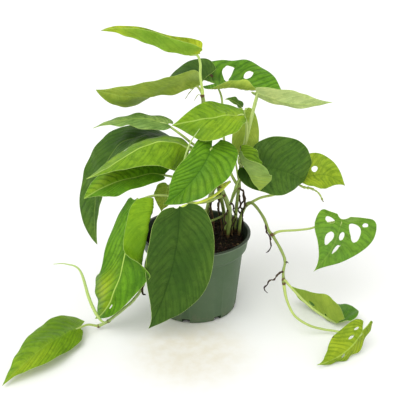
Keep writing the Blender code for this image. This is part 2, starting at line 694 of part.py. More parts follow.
def build_pot():
    top = POT_HEIGHT
    outer = [(0, 0), (BASE_RADIUS, 0), (wall_radius(BASE_CORNER), BASE_CORNER),
             (WALL_TOP_RADIUS, WALL_TOP_Z), (COLLAR_RADIUS, COLLAR_Z),
             (COLLAR_TOP_RADIUS, top - LIP_HEIGHT - LIP_SLOPE), (RIM_RADIUS, top - LIP_HEIGHT),
             (RIM_RADIUS, top - LIP_EDGE), (RIM_RADIUS - LIP_EDGE, top)]
    inner = [(COLLAR_TOP_RADIUS - WALL + LIP_EDGE, top), (COLLAR_TOP_RADIUS - WALL, top - LIP_EDGE),
             (COLLAR_RADIUS - WALL, COLLAR_Z + LIP_EDGE), (WALL_TOP_RADIUS - WALL, WALL_TOP_Z + LIP_EDGE),
             (wall_radius(FLOOR) - WALL, FLOOR), (0, FLOOR)]
    pot = turned("pot", outer + inner, POT_SIDES)
    cutters = bpy.data.collections.new("slot_cutters")
    for k in range(SLOT_COUNT):
        angle = SLOT_FIRST_ANGLE + 2 * math.pi * k / SLOT_COUNT
        shape = bmesh.new()
        bmesh.ops.create_cube(shape, size=1.0)
        depth = SLOT_REACH + SLOT_OUTSIDE
        middle = BASE_RADIUS + 0.5 * (SLOT_OUTSIDE - SLOT_REACH)
        for v in shape.verts:
            v.co.x = (v.co.x * depth + middle) * MM
            v.co.y = v.co.y * SLOT_WIDTH * MM
            v.co.z = v.co.z * 2 * SLOT_HEIGHT * MM
        bmesh.ops.rotate(shape, verts=shape.verts, cent=(0, 0, 0),
                         matrix=Matrix.Rotation(angle, 3, "Z"))
        mesh = bpy.data.meshes.new("slot")
        shape.to_mesh(mesh)
        shape.free()
        cutter = bpy.data.objects.new(f"slot_{k}", mesh)
        cutter.hide_render = True
        cutter.display_type = "WIRE"
        cutters.objects.link(cutter)
    cut = pot.modifiers.new("slots", "BOOLEAN")
    cut.operation = "DIFFERENCE"
    cut.operand_type = "COLLECTION"
    cut.solver = "EXACT"
    cut.collection = cutters
    pot.data.materials.append(material("pot", COLOURS["pot"], 0.45))
    return pot


def build_soil(stems):
    clear = WALL + SOIL_GAP
    top = SOIL_TOP
    collar_share = (top - COLLAR_Z) / (POT_HEIGHT - LIP_HEIGHT - COLLAR_Z)
    collar = COLLAR_RADIUS + (COLLAR_TOP_RADIUS - COLLAR_RADIUS) * collar_share
    profile = [(0, FLOOR + GAP), (wall_radius(FLOOR) - clear, FLOOR + GAP),
               (WALL_TOP_RADIUS - clear, WALL_TOP_Z), (COLLAR_RADIUS - clear, COLLAR_Z + SOIL_BEVEL),
               (collar - clear, top - SOIL_BEVEL), (0.75 * collar, top),
               (0.4 * collar, top + SOIL_CROWN * 0.4), (0, top + SOIL_CROWN * 0.2)]
    soil = turned("soil", profile, SOIL_SIDES)
    holes = bpy.data.collections.new("stem_holes")
    for stem in stems:
        path = stem_path(stem)
        path = path[path[:, 2] < top + CUT_ABOVE_SOIL]
        start = path[0] + unit(path[0] - path[1]) * GAP
        cutter = tube(stem.name + "_hole", np.vstack((start, path[1:])),
                      np.full(len(path), stem.radius[0] + HOLE_CLEARANCE))
        bpy.context.scene.collection.objects.unlink(cutter)
        cutter.hide_render = True
        cutter.display_type = "WIRE"
        holes.objects.link(cutter)
    cut = soil.modifiers.new("holes", "BOOLEAN")
    cut.operation = "DIFFERENCE"
    cut.operand_type = "COLLECTION"
    cut.solver = "EXACT"
    cut.collection = holes
    soil.data.materials.append(material("soil", COLOURS["soil"], 0.9))
    return soil


def main():
    clear_scene()
    stems = {stem.name: stem for stem in STEMS}
    build_pot()
    build_soil(STEMS)
    for stem in STEMS:
        build_stem(stem)
    for leaf in LEAVES:
        build_leaf(leaf, stems)
    for spike in SPIKES:
        build_spike(spike, stems)


main()
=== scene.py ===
"""A young swiss-cheese vine in a plastic nursery pot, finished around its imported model.

Laid out as an add-on and run as a script. Every new piece is a surface worked out
from formulas on whole arrays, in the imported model's frame, and rides on its body.
Lengths in the tables are millimetres, shares run from 0 to 1.
"""

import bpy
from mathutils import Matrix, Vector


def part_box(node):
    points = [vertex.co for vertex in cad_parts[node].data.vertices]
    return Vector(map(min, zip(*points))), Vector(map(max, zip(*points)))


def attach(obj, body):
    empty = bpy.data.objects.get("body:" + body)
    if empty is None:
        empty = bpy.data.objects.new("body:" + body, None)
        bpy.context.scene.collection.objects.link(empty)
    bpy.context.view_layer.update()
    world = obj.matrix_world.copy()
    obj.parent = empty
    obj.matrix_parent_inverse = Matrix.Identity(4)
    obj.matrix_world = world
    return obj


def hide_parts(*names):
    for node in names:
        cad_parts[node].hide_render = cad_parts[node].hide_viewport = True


bl_info = {
    "name": "Potted Swiss-Cheese Vine",
    "version": (1, 0, 0),
    "blender": (4, 5, 0),
    "location": "View3D > Sidebar > Vine",
    "description": "Builds the leaves, stems, soil and pot of a small trailing vine",
    "category": "Object",
}

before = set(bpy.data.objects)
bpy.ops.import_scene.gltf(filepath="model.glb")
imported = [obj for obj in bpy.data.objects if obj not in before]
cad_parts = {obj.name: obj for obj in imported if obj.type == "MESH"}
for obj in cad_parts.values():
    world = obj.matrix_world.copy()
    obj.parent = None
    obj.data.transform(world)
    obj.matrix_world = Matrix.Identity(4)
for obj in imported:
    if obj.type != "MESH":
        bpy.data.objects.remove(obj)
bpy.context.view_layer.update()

import math
from dataclasses import dataclass

import bpy
import numpy as np
from bpy.props import FloatProperty, FloatVectorProperty, IntProperty, PointerProperty

MM = 0.001
BODY = "root"

# Photograph's camera
PICTURE_SIDE = 400
FOCAL_PIXELS = 695.4
SENSOR = 36.0
CAMERA_PLACE = (0.0, -0.6136, 0.3687)
CAMERA_PITCH = math.radians(22.669)
CAMERA_YAW = math.radians(0.443)

# Pot and soil, in millimetres
LIP_HEIGHT = 1.6
COLLAR_TOP_RADIUS = 52.4
COLLAR_RADIUS = 50.6
COLLAR_Z = 66.0
WALL_TOP_RADIUS = 46.8
WALL_TOP_Z = 62.0
WALL_FLARE = 0.8
POT_FLOOR = 2.0
SLOT_COUNT = 8
SLOT_FIRST = math.radians(-58.0)
SLOT_HEIGHT = 4.5
SLOT_REACH = 5.0
SLOT_CELLS = 3
POT_SIDES = 192
BASE_BEVEL = 0.4
BASE_ROUNDING = 0.9
EDGE_ROUNDING = 0.5
LIP_UNDERCUT = 0.8
STEP_RISE = 0.3
SOIL_TOP = 70.0
SOIL_SHOULDER = 67.0
SOIL_MIDDLE = 30.0
SOIL_FLOOR = 2.3
SOIL_GAP = 0.6
SOIL_COLLAR_SHARE = 0.3
SOIL_CROWDING = 0.8
SOIL_DROOP = 1.5
SOIL_EDGE = 0.06
SOIL_SIDES = 160
SOIL_RINGS = 70
SOIL_CROWN = 1.2
CROWN_REACH = 30.0
SOIL_LUMPS = ((0.9, 17.0, 3), (0.55, 5.0, 4))
CHIP_RINGS = (0.18, -0.22)
CHIP_SHAPES = ((0.5, 1.5), (0.3, 0.8), (0.2, 0.5))
CHIP_TILT = 0.35
CHIP_RISE = 0.12
CHIP_MARGIN = 4.0
CRUMB_MARGIN = 1.0
CRUMBS = 5
CRUMB_SIZE = 0.3

# Grids
SHEET_ROWS = 192
SHEET_COLS = 96
BLADE_ROWS = 84
BLADE_COLS = 26
RIB_CROWDING = 1.25
STALK_SIDES = 14
STEM_SIDES = 18
ROOT_SIDES = 7
PATH_STEP = 1.6
CAP_ANGLES = np.radians((90.0, 60.0, 30.0))
FIXED_WAYS = np.array(((1, 0, 0), (0, 1, 0), (0, 0, 1), (1, 1, 0), (1, -1, 0),
                       (1, 0, 1), (1, 0, -1), (0, 1, 1), (0, 1, -1)), float)
NORMAL_STEP = 0.012
FLOOR_LINES = 9
TINY = 1e-9

# Outline and rows of half a blade, in shares
LOBE_SHARE = 0.4
LOBE_BACK = 1.25
LOBE_DIP = 0.01
LOBE_FRONT = 0.30
LOBE_WIDTHS = (0.22, 0.72, 1.0, 1.0)
TIP_HANDLE = 0.26
TIP_TURN = 0.84
ROW_START = 1.2
ROW_BOW = 0.05
CREASE_WIDTH = 0.22
HOLE_REACH = 1.6
HOLE_LENGTH = 1.15
HOLE_TAPER = 0.05
HOLE_SLANT = 0.15

# Veins and relief of a blade, in millimetres or shares
VEIN_LEAN = 0.5
VEIN_CURVE = 1.5
VEIN_WIDTH = 0.8
VEIN_STAGGER = 0.3
VEIN_START = 3.0
VEIN_WOBBLE = 0.07
WOBBLE_SIZE = 1.3
SWELL_FLATNESS = 0.6
SWELL_MIDDLE = 0.55
SWELL_START = 2.5
SWELL_END = 6
SWELL_FADE = 0.2
RIB_GROOVE = 0.3
RIB_WIDTH = 1.1
GROOVE_FADE = 0.3
MARGIN_WAVES = 4.0
MARGIN_FADE = 0.25
MARGIN_THINNING = 0.5
MARGIN_BULGE = 0.35
SLOW_WAVE = 0.5
SLOW_SIZE = 22.0

# Stems, stalks and roots, in millimetres; each taper is (shares, values)
STALK_INSIDE = (0.10, 0.03)
STALK_DROP = 0.8
STALK_TAPER = ((0.0, 0.12, 0.3, 0.85, 1.0), (0.35, 0.8, 0.9, 1.0, 1.25))
STALK_BROWN = ((0.8, 1.0), (0.0, 0.5))
STALK_PALE = ((0.0, 0.3, 1.0), (0.5, 0.2, 0.0))
SPIKE_TAPER = ((0.0, 0.35, 0.7, 1.0), (0.2, 0.8, 1.0, 0.5))
SPIKE_BROWN = ((0.9, 1.0), (0.0, 0.4))
SPIKE_PALE = ((0.0, 0.6), (0.9, 0.4))
SPIRAL_STEP = 0.3
SPIRAL_TWIST = 0.6
NODE_SWELL = 0.5
NODE_REACH = 2.2
JOINT_BROWN = 0.9
STEM_WAVE = 0.06
WAVE_SIZE = 8.0
SHOOT_WAVE = 0.1
YOUNG = 0.5
DAMP_REACH = 15.0
DAMP_EDGE = 2.0
ROOT_RADIUS = 0.95
ROOT_TAPER = ((0.0, 0.85, 1.0), (1.0, 0.7, 0.3))
ROOT_WIGGLE = 0.8
WIGGLE_SIZE = 9.0
ROOT_KNOTS = 0.2
KNOT_SIZE = 4.0
GREEN_ROOT_AGE = 0.6

# Material numbers on a leaf and on a stem, and the numbers of a leaf's tones
TOP, UNDER, RIM, STALK = range(4)
SKIN, BARE_ROOT, SHEATH = range(3)
BROWN, PALE, DARK, YELLOW = range(4)

# Noises by name: scale per metre, detail, roughness
LEAF_NOISES = {"clouds": (38.0,), "mottle": (150.0, 4.0, 0.6), "specks": (420.0, 2.0)}
STEM_NOISES = {"clouds": (90.0,), "fine": (900.0, 2.0)}
POT_NOISES = {"clouds": (28.0, 4.0), "grain": (1500.0, 2.0), "scuffs": (160.0, 5.0, 0.7),
              "spots": (330.0, 2.0)}
SOIL_NOISES = {"clumps": (240.0, 4.0, 0.65), "grain": (1600.0, 3.0, 0.7)}

# Colour layers: mask, where its step starts and ends, share, colour
LEAF_LAYERS = (("clouds", 0.35, 0.68, 1.0, "Fresh"), ("streaks", 0.48, 0.72, 0.55, "Fresh"),
               ("streaks", 0.52, 0.3, 0.7, "Deep"), ("mottle", 0.46, 0.68, 0.5, "Deep"),
               ("specks", 0.55, 0.72, 0.45, "Fresh"))
# On the pot a lighter ragged band is laid round the lip by height
POT_LAYERS = (("clouds", 0.3, 0.75, 1.0, "Light"), ("lip", 78.6, 80.2, 0.7, "Worn"),
              ("spots", 0.66, 0.74, 0.2, "Dust"))
SOIL_LAYERS = (("clumps", 0.4, 0.68, 1.0, "Clump"), ("own", 0.45, 0.95, 1.0, "Chip"),
               ("own", 0.93, 0.98, 0.7, "Pale chip"), ("grain", 0.35, 0.7, 0.5, "Ground"))

# Leaf pattern: steps, weights of its parts, and tints of its ground colour
THINNEST_VEIN = 0.001
VEIN_LINE = (0.2, 1.0)
# VEIN_SHADE and RIB_SHADE step the painted shade along the veins and beside the midrib
VEIN_SHADE = (0.0, 0.4, 1.0, 0.0)
RIB_LINE = (0.25, 0.8)
RIB_SHADE = (0.3, 6.0, 0.8, 0.0)
STREAK_PULL = (1.7, 0.045)
LEAF_STREAKS = (2.0, 4.0, 0.65)
LEAF_NET = (620.0, 0.12)
NET_SHOW = 0.2
DRY_SPECKS = 0.5
DRY_EDGE = (0.35, 0.65)
LEAF_ROUGHNESS = (1.0, 0.25, 0.06)
LEAF_HEIGHT = (-0.6, -0.18, 0.5)
LEAF_BUMP = 0.00025
MARGIN_BUMP = 0.0001
FRESHER = (1.55, 1.32, 1.25)
DEEP_TOP = (0.36, 0.46, 0.3)
DEEP_UNDER = (0.62, 0.68, 0.5)
PALER_VEIN = (1.4, 1.3, 1.3)
UNDER_SHADING = 0.5
UNDER_DULLNESS = 0.15
UNDER_SPECULAR = 0.6

# Stem pattern
STEM_PULL = (0.06, 1.6, 1.6)
STEM_STREAKS = (3.0, 4.0)
STREAK_EDGE = (0.35, 0.65)
STREAK_TINT = (1.35, 1.3, 1.5)
BRIGHTEST = 0.9
WORN_WEIGHTS = (1.0, 1.1, 0.5)
WORN_EDGE = (0.35, 0.85)
RING_NOISE = (1.3, 2.0)
STEM_ROUGHNESS = (1.0, 0.3)
STEM_HEIGHT = (0.6, 0.3, 0.8)
STEM_BUMP = 0.0003
ROOT_BUMP = 0.0004

# Pot and soil patterns
LIP_RAGGED = 1.2
DUST_HEIGHT = (1.0, 16.0, 1.0, 0.0)
DUST_EDGE = (0.45, 0.65)
DUST_SHOW = 0.35
# Share of the painted shade on the pot's inner wall
INNER_SHADE = 0.85
POT_ROUGHNESS = (1.0, 0.3)
POT_HEIGHT = (0.5, 0.4)
POT_BUMP = 0.00012
LIGHTER_PLASTIC = (1.2, 1.12, 1.2)
DUST_COLOUR = (0.2, 0.17, 0.12)
# Near-black green of the painted shade on the pot's inner wall
INNER_SHADE_COLOUR = (0.01, 0.015, 0.01)
SOIL_ROUGHNESS = (0.3, 0.7, 0.75, 0.95)
SOIL_HEIGHT = (1.5, 0.7)
SOIL_BUMP = 0.0008
BARK_BUMP = 0.0004
CLUMP_TINT = 2.6
DULL_BARK = 0.35
PALE_CHIP = (0.25, 0.17, 0.09)

# Stage
FLOOR_CLOUDS = 4.0
FLOOR_GREY = (0.93, 0.93, 0.92)
FLOOR_ROUGHNESS = 0.9
# Warm painted shadow on the floor in front of the pot: its centre, fall-off and ragged edge
FLOOR_SHADOW_PLACE = (-0.005, -0.085, 0.0)
FLOOR_SHADOW_EDGE = (0.015, 0.075, 1.0, 0.0)
FLOOR_SHADOW_NOISE = (90.0, 5.0)
FLOOR_SHADOW_RAGGED = (0.3, 0.7, 0.55, 1.0)
KEY_TILT = (math.radians(38.0), math.radians(-35.0))
NEAREST_SEEN = 0.02


@dataclass
class Half:
    """One side of a blade: width in mm, angles in degrees.

    fold is the angle at the midrib, at the base and at the tip. curl is added
    towards the edge, strongest where at = (centre, spread) along the blade.
    heart is how far the lobe reaches back, as a share of the blade's length.
    crease is a sharp fold: (share across, degrees, share along where it starts
    to open, and where it is open). waist is (share of width lost, centre, spread).
    """
    width: float
    fold: tuple = (8.0, 4.0)
    curl: float = 10.0
    at: tuple = (0.5, 2.0)
    heart: float = 0.10
    widest: float = 0.36
    taper: float = 0.22
    crease: tuple = (0.5, 0.0, 0.4, 0.5)
    waist: tuple = (0.0, 0.5, 0.1)


@dataclass
class Leaf:
    """A blade and its stalk.

    spine runs from the stalk to the tip. face is the way the top side looks,
    at the base and at the tip. A hole is (along, across, half length, half
    width) in shares of the blade, across being negative on the left half. A fifth
    number makes it a slanted ellipse of that share of its width.
    The stalk starts inside the base of the blade and runs on through its points
    into the stem that it joins. A root is (radius, points).
    """
    name: str
    spine: tuple
    face: tuple
    left: Half
    right: Half
    stalk: tuple
    joins: str
    face_tip: tuple = None
    wave: tuple = (0.8, 2.5, 0.1)
    holes: tuple = ()
    radius: float = 1.3
    roots: tuple = ()


@dataclass
class Look:
    """Finish of one leaf: its top and underside colours by name, and its veins.

    quilt is the swelling between side veins and ripple the waves of the margin,
    both in mm. lines and rib are how strongly its veins and midrib show. A patch
    is (tone, along, across, half length, half width, strength). stalk is the
    colour of its stalk by name.
    """
    top: str
    under: str = "olive"
    veins: int = 8
    lines: float = 0.5
    rib: float = 0.4
    quilt: float = 0.5
    ripple: float = 0.3
    patches: tuple = ()
    stalk: str = "stalk"


@dataclass
class Stem:
    """A round stem through its points, its aerial roots and its side shoots.

    age is how brown it is at its start and end, pale how light its skin is. A
    shoot is (radius, brown, pale, points).
    """
    name: str
    points: tuple
    radius: tuple = (1.9, 1.5)
    roots: tuple = ()
    age: tuple = (0.25, 0.0)
    pale: float = 0.0
    shoots: tuple = ()


@dataclass
class Spike:
    """A rolled new leaf, from its tip to the stem that it joins."""
    name: str
    points: tuple
    joins: str
    radius: float = 1.5


STEMS = (
    Stem("stem_right_crown",
         ((38, 17, 48), (39, 15, 70), (40, 8, 98), (42, 2, 127), (43, -4, 149), (43, -8, 168)),
         roots=(((41, 3, 124), (46, -1, 119), (47, -2, 108), (45, -4, 99), (47, -8, 90)),
                ((40, 9, 92), (36, 4, 86), (35, 0, 79)),
                ((42, 2, 124), (47, 4, 117), (45, 6, 106), (46, 8, 100), (44, 12, 91),
                 (45, 15, 71)),
                ((42, 2, 118), (44, 6, 103), (43, 9, 97), (46, 12, 88), (47, 11, 72))),
         shoots=((1.2, 0.1, 0.1, ((42, 2, 127), (40, 0, 125), (35, 4, 109), (34, 6, 101),
                                  (36, 10, 84), (36, 10, 66))),)),
    Stem("stem_tall",
         ((30, 25, 48), (31, 23, 70), (27, 15, 101), (18, 12, 138), (10, 8, 180), (7, 5, 213))),
    Stem("stem_front",
         ((31, 5, 48), (32, 4, 70), (33, -2, 99), (25, -8, 126), (17, -14, 150)),
         roots=(((33, -3, 104), (28, -8, 97), (27, -10, 88), (23, -13, 79)),
                ((24, -8, 127), (20, 0, 116), (17, 2, 110), (15, 3, 102), (16, 2, 92), (12, 3, 72)),
                ((25, -7, 124), (22, 3, 108), (23, 4, 102), (24, 6, 95), (22, 6, 84), (25, 4, 72)),
                ((33, -2, 110), (37, 4, 106), (36, 6, 99), (40, 8, 92), (38, 9, 84), (39, 10, 72))),
         shoots=((1.3, 0.0, 0.7, ((23, -9, 130), (26, -6, 125), (28, -2, 116), (31, 2, 108),
                                  (34, 5, 100), (32, 7, 90),
                                  (33, 8, 78), (33, 9, 66))),
                 (1.0, 0.1, 0.4, ((21, -10, 132), (18, -4, 124), (17, -2, 118), (15, 4, 109),
                                  (10, 10, 96), (8, 12, 84),
                                  (8, 14, 66))),
                 (1.1, 0.4, 0.1, ((33, 2, 99), (28, 6, 94), (23, 4, 92), (15, 0, 90), (9, -2, 85),
                                  (4, -3, 66))),
                 (1.3, 0.0, 0.9, ((21, -9, 138), (25, -6, 128), (31, -2, 113), (34, 2, 102),
                                  (33, 6, 88), (33, 8, 66))),
                 (1.0, 0.0, 0.6, ((20, -8, 134), (16, -3, 121), (13, 0, 112), (10, 6, 96),
                                  (8, 10, 85), (6, 12, 66))),
                 (1.1, 0.1, 0.5, ((42, -2, 136), (39, 0, 127), (35, 4, 111), (31, 8, 95),
                                  (30, 10, 78), (30, 11, 66))),
                 (0.9, 0.9, 0.0, ((20, 4, 128), (16, 4, 121), (15, 6, 105), (18, 8, 86),
                                  (18, 9, 66))),
                 (0.9, 1.0, 0.0, ((25, 4, 122), (24, 8, 113), (23, 8, 98), (26, 8, 83),
                                  (27, 8, 66))))),
    Stem("stem_back",
         ((11, 34, 48), (12, 32, 70), (13, 20, 99), (18, 22, 120), (26, 26, 143))),
    Stem("vine_right",
         ((39, 6, 48), (43, 8, 70), (45, 9, 90), (50, 4, 106), (56, 0, 108), (65, -8, 98),
          (70, -15, 87), (74, -20, 83), (81, -30, 73), (84, -36, 65), (82, -42, 57), (82, -50, 49)),
         (1.6, 1.3),
         (((67, -12, 93), (68, -15, 86), (71, -18, 80), (72, -19, 72), (70, -19, 67),
           (68, -18, 65)),
          ((82, -38, 62), (85, -39, 66), (87, -38, 64)),
          ((81, -44, 58), (76, -47, 57), (71, -48, 53), (67, -49, 49), (64, -50, 44),
           (67, -51, 40)))),
    Stem("vine_left",
         ((-22, -14, 48), (-24, -18, 70), (-28, -32, 88), (-36, -48, 92), (-43, -61, 80),
          (-47, -66, 57), (-56, -66, 42), (-65, -62, 31), (-75, -56, 19), (-83, -52, 10),
          (-92, -50, 4)),
         (1.5, 1.4),
         (((-47, -66, 57), (-47, -71, 53), (-44, -76, 53)),), age=(0.2, -0.2), pale=0.5),
)

